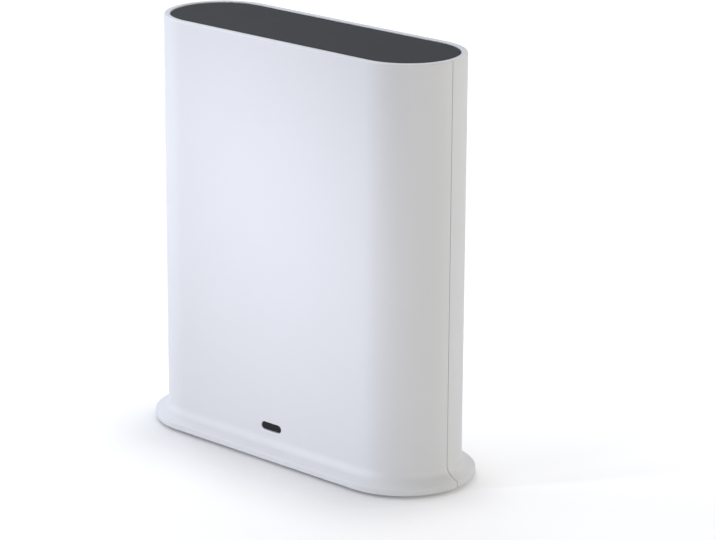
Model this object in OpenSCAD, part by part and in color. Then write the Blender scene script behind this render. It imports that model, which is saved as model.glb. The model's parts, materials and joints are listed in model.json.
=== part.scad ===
// Base station for wireless security cameras: a tall obround case that stands on a flared foot.
// The front faces -Y, the ports face +Y, and the origin is where the middle of the foot meets the table.

/* [Body] */
// Width of the body across its round ends
body_w = 111.5; // [92:0.5:132]
// Depth of the body from front to back
body_d = 36; // [30:0.5:44]
// Height of the whole station, foot pad included
body_h = 131; // [122:1:158]
// Thickness of the case walls
wall = 2; // [1.6:0.1:2.4]
// Gap of the seam between the two half shells
seam_gap = 0.2; // [0.1:0.05:0.4]

/* [Foot] */
// How far the foot stands out from the body
foot_flare = 4.2; // [3.4:0.1:5.2]
// Height of the shells' lower edge above the table
foot_gap = 0.8; // [0.5:0.1:1.2]
// Height of the upright lip round the foot
lip_h = 1.95; // [1.6:0.05:2.4]
// Radius of the lip's edges
lip_round = 0.4; // [0.2:0.05:0.6]
// Radius of the hollow curve from the wall into the foot
flare_r = 3.3; // [2.6:0.1:4]
// Slope of the foot's upper face below level, in degrees
flare_slope = 27; // [20:1:34]

/* [Rim and top plate] */
// Width of the rim round the top plate
rim_w = 1.9; // [1.2:0.05:2]
// Radius of the rim's outer edge
rim_round = 0.5; // [0.2:0.05:0.7]
// Depth of the top plate below the rim
plate_recess = 0.3; // [0.2:0.05:1.5]
// Thickness of the top plate
plate_t = 2; // [1.5:0.1:3]
// Width of the ledge that carries the top plate
ledge_w = 1.4; // [1:0.1:1.8]
// Thickness of that ledge
ledge_t = 1.6; // [1.2:0.1:2]
// Width of each snap leg of the top plate
snap_w = 8; // [5:0.5:10]
// Thickness of each snap leg
snap_t = 1.2; // [1:0.1:1.6]
// Distance of the snap legs from the middle
snap_x = 18; // [12:1:24]

/* [Base plate] */
// Thickness of the base plate
base_t = 2.2; // [2:0.1:3]
// Height of the locating rib on the base plate
base_rib_h = 2; // [1:0.1:2.5]
// Thickness of that rib
base_rib_t = 1; // [0.8:0.1:1.2]
// Distance of the rubber pad from the base plate's edge
pad_inset = 0.8; // [0.5:0.1:1.2]
// Width of the rubber pad
pad_w = 2.6; // [2:0.1:3]
// Depth that the rubber pad sits in the base plate
pad_sink = 0.8; // [0.5:0.1:1]
// Number of vent slots in the base plate
base_vents = 9; // [3:2:9]
// Length of a vent slot in the base plate
base_vent_l = 12; // [8:1:14]
// Width of a vent slot in the base plate
base_vent_w = 2; // [1.5:0.1:3]
// Spacing of the vent slots in the base plate
base_vent_pitch = 6; // [4:0.5:6]

/* [Status light] */
// Width of the window
led_w = 8.1; // [6:0.1:10]
// Height of the window
led_h = 2.3; // [2:0.1:2.8]
// Height of the window's middle above the table
led_z = 9.9; // [9.4:0.1:12]
// Depth of the lens below the front face
lens_inset = 0.12; // [0:0.02:0.4]
// Width of the lens flange all round
lens_flange_w = 1.1; // [0.8:0.1:1.4]
// Thickness of the lens flange
lens_flange_t = 0.8; // [0.6:0.1:1.2]
// Distance of the light pipe's sides and faces inside the window's
pipe_margin = [0.5, 0.15];
// Wall of the sleeve round the light pipe
shroud_wall = 0.9; // [0.6:0.1:1]
// Width, depth and height of the lamp on the board
lamp_size = [3, 1.2, 1.6];

/* [Main board] */
// Thickness of the board
board_t = 1.6; // [1:0.1:2]
// Distance of the board's edges from the case's round ends
board_margin = 7; // [6:0.5:9]
// Height of the board's lower edge above the base plate
board_lift = 4.2; // [3.4:0.1:5]
// Distance of the board's upper edge below the top plate
board_head = 9; // [8:0.5:12]
// Distance of the board's screws from its upper and lower edges
board_screw_edge = 6; // [5:0.5:8]
// Distance of the board's screws outside the ends' centres
board_screw_out = 1; // [0:0.5:2]
// Room between the board and the bosses for the base screws
board_clear = 1; // [0.5:0.1:1.5]
// Gap between neighbouring parts on the board
part_gap = 1; // [0.6:0.1:1.2]
// Radius of the posts that carry the board
post_r = 3; // [2.5:0.1:3.5]
// Height of the processor's middle above the table
processor_z = 52; // [46:1:58]
// Width, height and depth of the processor
processor_size = [15, 15, 1.2];
// Width, height and depth of a memory chip
memory_size = [8, 11, 1];
// Width, height and depth of the flash chip
flash_size = [8, 6, 0.9];
// Width, height and depth of a clock crystal
crystal_size = [3.2, 2.5, 0.8];
// Width, height and depth of the larger radio's shield can
wifi_can_size = [30, 24, 2.6];
// Width, height and depth of the smaller radio's shield can
radio_can_size = [24, 20, 2.6];
// Height of the shield cans' middles above the table
can_z = 82; // [76:1:84]
// Width, height and depth of the network transformer
transformer_size = [15, 10, 5];
// Width, height and depth of a power inductor
inductor_size = [7, 7, 4];
// Radius of a bulk capacitor
capacitor_r = 3.15; // [2.5:0.05:3.5]
// Height of a bulk capacitor
capacitor_h = 7.7; // [5:0.1:9]
// Height of the power parts' middles above the table
power_parts_z = 33; // [31:1:36]

/* [Heat spreader] */
// Thickness of the thermal pad
thermal_pad_t = 0.8; // [0.5:0.1:1.2]
// Distance of the thermal pad's edges inside the processor's
thermal_pad_margin = 0.5; // [0.2:0.1:1]
// Width of the heat spreader
spreader_w = 60; // [50:1:62]
// Height of the heat spreader
spreader_h = 46; // [36:1:48]
// Thickness of the heat spreader's plate
spreader_t = 1.5; // [1:0.1:2]
// Number of fins
fins = 9; // [5:2:9]
// Spacing of the fins
fin_pitch = 5.2; // [4:0.1:5.4]
// Thickness of a fin
fin_t = 1.2; // [1:0.1:1.5]
// Height of a fin above the plate
fin_h = 3.2; // [2:0.1:3.4]
// Distance of the fins' ends from the plate's edges
fin_edge = 3; // [1:0.5:6]
// Distance of the spreader's screws from its edges
spreader_screw_edge = 4; // [3:0.5:5]
// Radius of the spreader's feet
spreader_foot_r = 2.2; // [2:0.1:2.6]

/* [Ports] */
// Height of the sockets' middles above the table
ports_z = 17; // [16.8:0.1:19]
// Length of the sockets from the board to their mouths
jack_len = 16.5; // [14:0.1:17.5]
// Depth of the recessed panel round the sockets
panel_recess = 0.6; // [0.4:0.05:0.8]
// Width of the recessed panel
panel_w = 62; // [60:1:66]
// Height of the recessed panel
panel_h = 17; // [15:0.5:17]
// Corner radius of the recessed panel
panel_r = 3; // [1:0.5:5]
// Depth of the sockets' mouths below the panel
port_inset = 0.2; // [0.1:0.05:0.4]
// Sideways place of the network socket
eth_x = 5.5; // [5:0.1:6]
// Width of the network socket
eth_w = 16; // [15.5:0.1:16.5]
// Height of the network socket
eth_h = 13.6; // [13:0.1:14]
// Thickness of the network socket's metal shield
eth_shield_t = 0.3; // [0.2:0.05:0.4]
// Width of the plug space
plug_w = 11.9; // [11.7:0.1:12.2]
// Height of the plug space
plug_h = 7; // [6.8:0.1:7.4]
// Depth of the plug space
plug_depth = 12.6; // [12:0.1:13]
// Height of the plug space's floor below the socket's middle
plug_drop = 4.6; // [4.4:0.1:5]
// Width of the latch notch
latch_w = 6.2; // [6:0.1:6.5]
// Height of the latch notch
latch_h = 2.3; // [2:0.1:2.6]
// Number of network contacts
eth_contacts_n = 8; // [4:2:8]
// Spacing of the network contacts
eth_contact_pitch = 1.02; // [1:0.01:1.1]
// Width of a network contact
eth_contact_w = 0.46; // [0.3:0.02:0.6]
// Thickness of a network contact
eth_contact_t = 0.35; // [0.25:0.05:0.45]
// How far the network contacts rise from the floor
eth_contact_rise = 2; // [1.5:0.1:2.2]
// Depth of the network contacts' feet below the mouth
eth_contact_inset = 2.5; // [2:0.1:3]
// Length of a network contact's flat foot
eth_contact_foot = 0.8; // [0.5:0.1:1.2]
// Distance of a network contact's tip from the back of the plug space
eth_contact_stop = 2; // [1:0.1:3]
// Sideways place of the USB socket
usb_x = -13.5; // [-14:0.1:-13]
// Width of the USB socket's shell
usb_w = 13.1; // [12.8:0.1:13.4]
// Height of the USB socket's shell
usb_h = 5.7; // [5.6:0.05:6]
// Thickness of the USB socket's shell
usb_shell_t = 0.3; // [0.2:0.05:0.4]
// Depth of the USB socket's plug space
usb_depth = 9.2; // [8.8:0.1:9.6]
// Width of the USB tongue
tongue_w = 11.1; // [10.8:0.1:11.3]
// Thickness of the USB tongue
tongue_t = 1.85; // [1.7:0.05:2]
// Height of the tongue's middle above the socket's middle
tongue_rise = 1.1; // [0.9:0.05:1.2]
// Depth of the tongue's tip below the mouth
tongue_inset = 0.8; // [0.5:0.1:1.2]
// Sideways places of the USB contacts
usb_contact_x = [-3.5, -1, 1, 3.5];
// Width, thickness and length of a USB contact
usb_contact_size = [1, 0.15, 6.5];
// Sideways place of the power socket
power_x = 23; // [22:0.1:24]
// Width of the power socket
power_w = 9; // [8.6:0.1:9.4]
// Height of the power socket
power_h = 11; // [10:0.1:12]
// Radius of the power socket's bore
power_bore_r = 3.05; // [2.9:0.05:3.2]
// Depth of the power socket's bore
power_bore_depth = 10.5; // [9.5:0.1:11]
// Radius of the power socket's pin
power_pin_r = 1; // [0.8:0.05:1.25]
// Depth of the pin's tip below the mouth
power_pin_inset = 1.2; // [0.8:0.1:2]
// Width, thickness and length of the power socket's leaf spring
power_spring_size = [2, 0.25, 7];

/* [Rear vents] */
// Number of vent slots in the rear shell
rear_vents = 13; // [5:2:13]
// Width of a rear vent slot
rear_vent_w = 1.6; // [1.2:0.1:2]
// Length of a rear vent slot
rear_vent_l = 16; // [10:1:18]
// Spacing of the rear vent slots
rear_vent_pitch = 4.6; // [3.5:0.1:4.6]
// Distance of the rear vents' middles below the top
rear_vent_drop = 24; // [20:1:26]

/* [Buttons] */
// Height of the sync button above the table
sync_z = 52; // [48:1:56]
// Radius of the sync button
sync_r = 5; // [4:0.1:6]
// How far the sync button stands proud of the back
sync_proud = 0.7; // [0.5:0.05:1.2]
// Depth of the finger hollow in the sync button
sync_dish = 0.35; // [0.2:0.05:0.5]
// Travel of the sync button
sync_travel = 0.4; // [0.2:0.05:0.5]
// Width of the sync button's retaining flange
sync_flange_w = 1.2; // [0.8:0.1:1.6]
// Radius of the sync button's stem
sync_stem_r = 2; // [1.5:0.1:2.5]
// Wall of the collar that guides the sync button
collar_wall = 1.2; // [0.8:0.1:1.6]
// Length of that collar inside the wall
collar_len = 5; // [3:0.5:6]
// Width, depth and full height of the sync switch
sync_switch = [6.2, 3.5, 5];
// Radius of the sync switch's plunger
sync_plunger_r = 1.7; // [1.4:0.1:2]
// Sideways place of the reset pinhole
reset_x = -26; // [-26.5:0.1:-25.5]
// Radius of the reset pinhole
pinhole_r = 0.9; // [0.7:0.05:1.1]
// Wall of the tube that guides a pin to the reset switch
pin_tube_wall = 1.2; // [0.8:0.1:1.5]
// Travel of the reset switch
reset_travel = 0.25; // [0.15:0.05:0.3]
// Width, depth and full height of the reset switch
reset_switch = [4.5, 2.6, 4.3];
// Radius of the reset switch's plunger
reset_plunger_r = 1.1; // [0.9:0.1:1.3]
// Depth of a plunger inside its switch
plunger_seat = 1; // [0.8:0.1:1.2]
// Room under a plunger at rest
plunger_room = 0.6; // [0.5:0.05:0.8]

/* [Aerials] */
// Width, height and thickness of a side aerial
side_antenna = [12, 30, 0.8];
// Width, height and thickness of the middle aerial
top_antenna = [30, 14, 0.8];
// Distance of the side aerials from the middle
antenna_x = 28; // [24:1:30]
// Distance of the aerials' upper edges below the top plate
antenna_drop = 9; // [8.5:0.5:11]
// Thickness of the tape behind the aerials
tape_t = 0.4; // [0.2:0.1:0.8]
// Radius of an aerial lead
lead_r = 0.6; // [0.45:0.05:0.8]
// Drop of each lead from its aerial to its plug
lead_drop = 21; // [18:1:24]
// Distance of a lead's solder joint above its aerial's lower edge
lead_start = 12; // [8:1:13]
// Width and depth of a coaxial socket
coax_socket = [2.6, 1.2];
// Radius and depth of a coaxial plug
coax_plug = [1.6, 1.3];

/* [Fasteners] */
// Radius of the case and board screws
screw_r = 1.15; // [1:0.05:1.3]
// Radius of their heads
head_r = 2.3; // [2:0.1:2.6]
// Height of their heads
head_h = 0.9; // [0.7:0.1:1.1]
// Length of the case and board screws
screw_len = 8; // [6:0.5:8]
// Radius of the spreader's screws
small_screw_r = 0.9; // [0.7:0.05:1]
// Radius of their heads
small_head_r = 1.8; // [1.5:0.1:2]
// Width and depth of the cross slots
cross_slot = [0.6, 0.45];
// Length of the cross slots as a share of the head
slot_share = 0.7; // [0.5:0.05:0.8]
// Radius of the bosses for the base screws
boss_r = 3; // [2.6:0.1:3.2]
// Height of the bosses above the base plate
boss_h = 9; // [8.5:0.5:11]
// Distance of the bosses from the case's inner wall
boss_inset = 4.6; // [4.4:0.1:5]
// Direction of the bosses from the ends' centres, in degrees
boss_angle = 40; // [34:1:46]

/* [Seam tongue] */
// Thickness of the tongue that keeps the shells in line
tongue_wall = 1; // [0.8:0.1:1.3]
// Half angle of the tongue, in degrees
tongue_angle = 8; // [5:1:10]

/* [Fits] */
// Gap round plates that are let in
plate_fit = 0.15; // [0.1:0.05:0.3]
// Gap round sockets and the lens
port_fit = 0.25; // [0.15:0.05:0.4]
// Gap round pieces that slide
slide_fit = 0.2; // [0.15:0.05:0.3]
// Gap round screws
screw_fit = 0.05; // [0.03:0.01:0.1]
// Gap between small pieces that face each other
face_fit = 0.05; // [0.02:0.01:0.1]

/* [Hidden] */
$fn = 64;
arc_steps = 6;
cut = 1;

// Plan: a straight stretch between two round ends. Posts and tubes reach into the rear wall up to root_y
r_body = body_d / 2;
r_foot = r_body + foot_flare;
r_in = r_body - wall;
root_y = r_in + wall / 4;
end_x = body_w / 2 - r_body;

// Rim and ledge
r_rim = r_body - rim_w;
r_plate = r_rim - plate_fit;
r_ledge = r_in - ledge_w;
plate_z = body_h - plate_recess - plate_t;
ledge_z = plate_z - ledge_t;

// Foot: the skirt's normal is skirt_n, and the hollow curve starts on the wall at flare_z
skirt_angle = 90 - flare_slope;
skirt_n = [cos(skirt_angle), sin(skirt_angle)];
lip_z = foot_gap + lip_h;
lip_c = [r_foot - lip_round, lip_z - lip_round * (1 - skirt_n.x) / skirt_n.y];
flare_x = r_body + flare_r;
flare_z = (flare_r + lip_c * skirt_n + lip_round - flare_x * skirt_n.x) / skirt_n.y;

// Base plate
base_top = foot_gap + base_t;
r_base = r_body;
r_pocket = r_base + plate_fit;
r_pad_out = r_base - pad_inset;
r_pad_in = r_pad_out - pad_w;
boss_dist = r_in - boss_inset;
boss_xy = [end_x + boss_dist * cos(boss_angle), boss_dist * sin(boss_angle)];
screw_seat = foot_gap + head_h + face_fit;

// Board, placed so that the sockets reach the panel in the back, with its posts outside the end ports
panel_y = r_body - panel_recess;
mouth_y = panel_y - port_inset;
board_y = mouth_y - jack_len;
front_y = board_y - board_t;
board_x = end_x + r_in - board_margin;
board_z0 = base_top + board_lift;
board_z1 = plate_z - board_head;
ports_edge = max(power_x + power_w / 2, reset_switch.x / 2 - reset_x);
board_screw_x = max(end_x + board_screw_out, ports_edge + part_gap + post_r);
board_screw_z = [board_z0 + board_screw_edge, board_z1 - board_screw_edge];

// Heat spreader, standing on the processor and its pad
pad_y = front_y - processor_size.z;
spreader_y = pad_y - thermal_pad_t;
spreader_front = spreader_y - spreader_t;
spreader_screw = [
    spreader_w / 2 - spreader_screw_edge,
    spreader_h / 2 - spreader_screw_edge
];

// Status light
lens_back = -r_in + lens_flange_t;
pipe_w = led_w - 2 * pipe_margin.x;
pipe_h = led_h - 2 * pipe_margin.y;

// Plug spaces of the network and USB sockets
plug_floor = ports_z - plug_drop;
plug_back = mouth_y - plug_depth;
usb_inner = [usb_w - 2 * usb_shell_t, usb_h - 2 * usb_shell_t];

// Sync button
sync_hole_r = sync_r + slide_fit;
sync_flange_r = sync_hole_r + sync_flange_w;
sync_seat = board_y + sync_switch.z;
sync_face = r_body + sync_proud;

// Aerials, the side ones on the flat stretch of the front wall
side_x = min(antenna_x, end_x - side_antenna.x / 2);
antenna_top_z = plate_z - antenna_drop;
antenna_y = -r_in + tape_t;
lead_y0 = antenna_y + side_antenna.z + lead_r + face_fit;
coax_y = front_y - coax_socket.y;
lead_y1 = coax_y - coax_plug.y / 2;

// Points of an arc round a centre, from one angle to another
function arc(c, r, from, to) = [
    for (i = [0 : arc_steps])
        let (angle = from + (to - from) * i / arc_steps)
        c + r * [cos(angle), sin(angle)]
];

// Section of the shells' wall, as distance from the plan's centre line and height
shell_section = concat(
    [[r_pocket, foot_gap]],
    arc([r_foot - lip_round, foot_gap + lip_round], lip_round, -90, 0),
    arc(lip_c, lip_round, 0, skirt_angle),
    arc([flare_x, flare_z], flare_r, 180 + skirt_angle, 180),
    arc([r_body - rim_round, body_h - rim_round], rim_round, 0, 90),
    [[r_rim, body_h], [r_rim, plate_z], [r_ledge, plate_z], [r_ledge, ledge_z], [r_in, ledge_z]],
    [[r_in, base_top], [r_pocket, base_top]]
);

// Flat obround with its length along X
module obround(length, height) {
    square([length - height, height], center = true);
    for (side = [-1, 1])
        translate([side * (length - height) / 2, 0])
            circle(d = height);
}

// Flat rectangle with round corners
module round_rect(size, r) {
    square([size.x - 2 * r, size.y], center = true);
    square([size.x, size.y - 2 * r], center = true);
    for (x = [-1, 1], y = [-1, 1])
        translate([x * (size.x / 2 - r), y * (size.y / 2 - r)])
            circle(r);
}

// Plan of the station at a distance from its centre line
module plan(r) {
    obround(2 * (end_x + r), 2 * r);
}

// Upright plate or ring with the station's plan
module plan_plate(r, z0, z1) {
    translate([0, 0, z0])
        linear_extrude(z1 - z0)
            plan(r);
}

module plan_ring(r_out, r_hole, z0, z1) {
    translate([0, 0, z0])
        linear_extrude(z1 - z0)
            difference() {
                plan(r_out);
                plan(r_hole);
            }
}

// Outline in the XZ plane, made solid between two depths
module along_y(y0, y1) {
    translate([0, y1, 0])
        rotate([90, 0, 0])
            linear_extrude(y1 - y0)
                children();
}

// Round bar along Y at a place in the XZ plane
module rod_y(x, z, r, y0, y1) {
    translate([x, y0, z])
        rotate([-90, 0, 0])
            cylinder(h = y1 - y0, r = r);
}

// Box at a place in the XZ plane, with its width and height, between two depths
module block_y(x, z, size, y0, y1) {
    translate([x - size.x / 2, y0, z - size.y / 2])
        cube([size.x, y1 - y0, size.y]);
}

// Rear half of the wall section swept round the plan
module half_wall() {
    difference() {
        union() {
            for (turn = [0, 1])
                translate([end_x * (1 - 2 * turn), 0, 0])
                    rotate(90 * turn)
                        rotate_extrude(angle = 90)
                            polygon(shell_section);
            translate([-end_x, 0, 0])
                rotate([90, 0, 90])
                    linear_extrude(2 * end_x)
                        polygon(shell_section);
        }
        translate([-body_w, -cut, -cut])
            cube([2 * body_w, cut + seam_gap / 2, body_h + 2 * cut]);
    }
}

// Bosses for the base screws in a rear half, each tied to the wall by a web
module base_bosses() {
    web_z = base_top + base_rib_h + plate_fit;
    for (side = [0, 1])
        mirror([side, 0, 0]) {
            translate([boss_xy.x, boss_xy.y, base_top])
                cylinder(h = boss_h, r = boss_r);
            translate([end_x, 0, web_z])
                rotate(boss_angle)
                    translate([boss_dist, -boss_r / 2, 0])
                        cube([r_in - boss_dist + wall / 2, boss_r, base_top + boss_h - web_z]);
        }
}

module base_boss_holes() {
    for (x = [-1, 1])
        translate([x * boss_xy.x, boss_xy.y, base_top - cut])
            cylinder(h = cut + screw_len, r = screw_r + screw_fit);
}

module front_shell() {
    color("white")
        difference() {
            mirror([0, 1, 0])
                difference() {
                    union() {
                        half_wall();
                        base_bosses();
                    }
                    base_boss_holes();
                }
            along_y(-r_foot, -r_in + cut)
                translate([0, led_z])
                    obround(led_w + port_fit, led_h + port_fit);
        }
}

module board_posts() {
    for (x = [-1, 1], z = board_screw_z)
        rod_y(x * board_screw_x, z, post_r, board_y, root_y);
}

module board_post_holes() {
    for (x = [-1, 1], z = board_screw_z)
        rod_y(x * board_screw_x, z, screw_r + screw_fit, board_y - cut, board_y + screw_len);
}

module rear_openings() {
    along_y(panel_y, r_body + cut)
        translate([0, ports_z])
            round_rect([panel_w, panel_h], panel_r);
    for (port = [[eth_x, eth_w, eth_h], [usb_x, usb_w, usb_h], [power_x, power_w, power_h]])
        block_y(port.x, ports_z, [port.y + 2 * port_fit, port.z + 2 * port_fit], r_in - cut, r_body);
    along_y(r_in - cut, r_body + cut)
        for (i = [0 : rear_vents - 1])
            translate([(i - (rear_vents - 1) / 2) * rear_vent_pitch, body_h - rear_vent_drop])
                rotate(90)
                    obround(rear_vent_l, rear_vent_w);
    rod_y(0, sync_z, sync_hole_r, r_in - collar_len - cut, r_body + cut);
    rod_y(0, sync_z, sync_flange_r + slide_fit, r_in - collar_len - cut, r_in);
    rod_y(reset_x, ports_z, pinhole_r, board_y, r_body + cut);
}

// Tongues behind the seam, joined to the rear wall and clear of the front one
module seam_tongues() {
    r_out = r_in - plate_fit;
    z0 = base_top + boss_h + plate_fit;
    z1 = ledge_z - snap_t;
    for (side = [0, 1])
        mirror([side, 0, 0])
            translate([end_x, 0, 0]) {
                rotate(-tongue_angle)
                    rotate_extrude(angle = 2 * tongue_angle)
                        translate([r_out - tongue_wall, z0])
                            square([tongue_wall, z1 - z0]);
                rotate(tongue_angle / 2)
                    rotate_extrude(angle = tongue_angle / 2)
                        translate([r_out - tongue_wall / 2, z0])
                            square([tongue_wall / 2 + plate_fit + wall / 4, z1 - z0]);
            }
}

module rear_shell() {
    tube_y = board_y + reset_switch.z + plunger_room;
    color("white")
        union() {
            difference() {
                union() {
                    half_wall();
                    base_bosses();
                    board_posts();
                    rod_y(0, sync_z, sync_flange_r + slide_fit + collar_wall, r_in - collar_len, root_y);
                    rod_y(reset_x, ports_z, pinhole_r + pin_tube_wall, tube_y, root_y);
                }
                base_boss_holes();
                board_post_holes();
                rear_openings();
            }
            seam_tongues();
        }
}

// One snap leg on the plate's rear side, with its hook under the ledge
module snap_leg(x) {
    leg_y = r_ledge - plate_fit;
    hook_z = ledge_z - plate_fit;
    translate([x + snap_w / 2, 0, 0])
        rotate([90, 0, -90])
            linear_extrude(snap_w)
                polygon([
                    [-leg_y, plate_z], [-leg_y, hook_z], [-leg_y - snap_t / 2, hook_z],
                    [-leg_y, hook_z - snap_t], [-leg_y + snap_t, hook_z - snap_t],
                    [-leg_y + snap_t, plate_z]
                ]);
}

module top_plate() {
    color("dimgray")
        union() {
            plan_plate(r_plate, plate_z, plate_z + plate_t);
            for (x = [-snap_x, snap_x], side = [0, 1])
                mirror([0, side, 0])
                    snap_leg(x);
        }
}

module base_plate() {
    color("dimgray")
        difference() {
            union() {
                plan_plate(r_base, foot_gap, base_top);
                plan_ring(r_in - plate_fit, r_in - plate_fit - base_rib_t, base_top, base_top + base_rib_h);
            }
            plan_ring(r_pad_out + plate_fit, r_pad_in - plate_fit, foot_gap - cut, foot_gap + pad_sink);
            for (x = [-1, 1], y = [-1, 1])
                translate([x * boss_xy.x, y * boss_xy.y, 0]) {
                    cylinder(h = base_top + cut, r = screw_r + slide_fit);
                    cylinder(h = screw_seat, r = head_r + slide_fit);
                }
            for (i = [0 : base_vents - 1])
                translate([(i - (base_vents - 1) / 2) * base_vent_pitch, 0, 0])
                    rotate(90)
                        linear_extrude(base_top + cut)
                            obround(base_vent_l, base_vent_w);
        }
}

module foot_pad() {
    color("black")
        plan_ring(r_pad_out, r_pad_in, 0, foot_gap + pad_sink);
}

// Screw that stands on its head, with the head's seat at the origin and the shank going up
module screw(r, head, head_height, length) {
    difference() {
        union() {
            cylinder(h = length, r = r);
            translate([0, 0, -head_height])
                cylinder(h = head_height, r = head);
        }
        for (turn = [0, 90])
            rotate(turn)
                translate([-head * slot_share, -cross_slot.x / 2, -head_height - cut])
                    cube([2 * head * slot_share, cross_slot.x, cross_slot.y + cut]);
    }
}

module base_screws() {
    color("silver")
        for (x = [-1, 1], y = [-1, 1])
            translate([x * boss_xy.x, y * boss_xy.y, screw_seat])
                screw(screw_r, head_r, head_h, screw_len);
}

module led_window() {
    color([0.12, 0.13, 0.15])
        union() {
            along_y(-r_body + lens_inset, -r_in)
                translate([0, led_z])
                    obround(led_w, led_h);
            along_y(-r_in, lens_back)
                translate([0, led_z])
                    obround(led_w + 2 * lens_flange_w, led_h + 2 * lens_flange_w);
        }
}

module light_pipe() {
    color("lightcyan")
        along_y(lens_back, front_y - lamp_size.y - face_fit)
            translate([0, led_z])
                obround(pipe_w, pipe_h);
}

module light_shroud() {
    color("black")
        along_y(lens_back, front_y)
            translate([0, led_z])
                difference() {
                    obround(pipe_w + 2 * (face_fit + shroud_wall), pipe_h + 2 * (face_fit + shroud_wall));
                    obround(pipe_w + 2 * face_fit, pipe_h + 2 * face_fit);
                }
}

module status_led() {
    color("ivory")
        block_y(0, led_z, [lamp_size.x, lamp_size.z], front_y - lamp_size.y, front_y);
}

module main_board() {
    color("darkgreen")
        difference() {
            translate([-board_x, front_y, board_z0])
                cube([2 * board_x, board_t, board_z1 - board_z0]);
            for (x = [-1, 1], y = [-1, 1])
                translate([x * boss_xy.x, y * boss_xy.y, base_top])
                    cylinder(h = boss_h + board_clear, r = boss_r + board_clear);
            for (x = [-1, 1], z = board_screw_z)
                rod_y(x * board_screw_x, z, screw_r + slide_fit, front_y - cut, board_y + cut);
            for (x = [-1, 1], z = [-1, 1])
                rod_y(x * spreader_screw.x, processor_z + z * spreader_screw.y,
                    small_screw_r + screw_fit, front_y - cut, board_y + cut);
        }
}

module board_screws() {
    color("silver")
        for (x = [-1, 1], z = board_screw_z)
            translate([x * board_screw_x, front_y, z])
                rotate([-90, 0, 0])
                    screw(screw_r, head_r, head_h, screw_len);
}

// Part on the front face of the board, or on its rear face
module on_front(x, z, size) {
    block_y(x, z, size, front_y - size.z, front_y);
}

module on_rear(x, z, size) {
    block_y(x, z, size, board_y, board_y + size.z);
}

module processor() {
    color([0.15, 0.15, 0.16])
        on_front(0, processor_z, processor_size);
}

module memory_chips() {
    color([0.15, 0.15, 0.16])
        for (side = [-1, 1])
            on_front(side * (processor_size.x / 2 + memory_size.x), processor_z, memory_size);
}

module flash_chip() {
    color([0.15, 0.15, 0.16])
        on_front(0, processor_z - processor_size.y / 2 - flash_size.y, flash_size);
}

module clock_crystals() {
    color("silver")
        for (side = [-1, 1])
            on_front(side * 2 * crystal_size.x, processor_z + processor_size.y / 2 + 2 * crystal_size.y,
                crystal_size);
}

module thermal_pad() {
    color("lightpink")
        block_y(0, processor_z,
            [processor_size.x - 2 * thermal_pad_margin, processor_size.y - 2 * thermal_pad_margin],
            spreader_y, pad_y);
}

module heat_spreader() {
    color("lightgray")
        difference() {
            union() {
                block_y(0, processor_z, [spreader_w, spreader_h], spreader_front, spreader_y);
                for (i = [0 : fins - 1])
                    block_y((i - (fins - 1) / 2) * fin_pitch, processor_z,
                        [fin_t, spreader_h - 2 * fin_edge], spreader_front - fin_h, spreader_front);
                for (x = [-1, 1], z = [-1, 1])
                    rod_y(x * spreader_screw.x, processor_z + z * spreader_screw.y,
                        spreader_foot_r, spreader_front, front_y);
            }
            for (x = [-1, 1], z = [-1, 1])
                rod_y(x * spreader_screw.x, processor_z + z * spreader_screw.y,
                    small_screw_r + screw_fit, spreader_front - cut, front_y + cut);
        }
}

module spreader_screws() {
    color("silver")
        for (x = [-1, 1], z = [-1, 1])
            translate([x * spreader_screw.x, spreader_front, processor_z + z * spreader_screw.y])
                rotate([-90, 0, 0])
                    screw(small_screw_r, small_head_r, head_h, board_y - spreader_front);
}

// Folded can with an open back, seated on the board
module shield_can(x, z, size) {
    difference() {
        on_rear(x, z, size);
        block_y(x, z, [size.x - 2 * eth_shield_t, size.y - 2 * eth_shield_t],
            board_y - cut, board_y + size.z - eth_shield_t);
    }
}

module wifi_shield_can() {
    color("silver")
        shield_can(-wifi_can_size.x / 2 - part_gap, can_z, wifi_can_size);
}

module radio_shield_can() {
    color("silver")
        shield_can(radio_can_size.x / 2 + part_gap, can_z, radio_can_size);
}

module lan_transformer() {
    color([0.15, 0.15, 0.16])
        on_rear(-transformer_size.x / 2, power_parts_z, transformer_size);
}

module power_inductors() {
    color("dimgray")
        for (i = [1, 2])
            on_rear(i * (inductor_size.x + part_gap) + part_gap, power_parts_z, inductor_size);
}

module bulk_capacitors() {
    first_x = 2.5 * (inductor_size.x + part_gap) + capacitor_r + 2 * part_gap;
    color("silver")
        for (i = [0, 1])
            rod_y(first_x + i * (2 * capacitor_r + part_gap), power_parts_z, capacitor_r,
                board_y, board_y + capacitor_h);
}

// Outline of the network plug space with its latch notch, grown by a margin
module plug_outline(margin) {
    translate([eth_x, plug_floor + plug_h / 2])
        square([plug_w + 2 * margin, plug_h + 2 * margin], center = true);
    translate([eth_x, plug_floor + plug_h + latch_h / 2])
        square([latch_w + 2 * margin, latch_h + 2 * margin], center = true);
}

module ethernet_housing() {
    color([0.12, 0.12, 0.13])
        difference() {
            block_y(eth_x, ports_z, [eth_w - 2 * eth_shield_t, eth_h - 2 * eth_shield_t],
                board_y, mouth_y - eth_shield_t);
            along_y(plug_back, mouth_y)
                plug_outline(0);
        }
}

module ethernet_shield() {
    color("silver")
        difference() {
            block_y(eth_x, ports_z, [eth_w, eth_h], board_y, mouth_y);
            block_y(eth_x, ports_z, [eth_w - 2 * eth_shield_t, eth_h - 2 * eth_shield_t],
                board_y - cut, mouth_y - eth_shield_t);
            along_y(mouth_y - cut, mouth_y + cut)
                plug_outline(port_fit / 2);
        }
}

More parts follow.
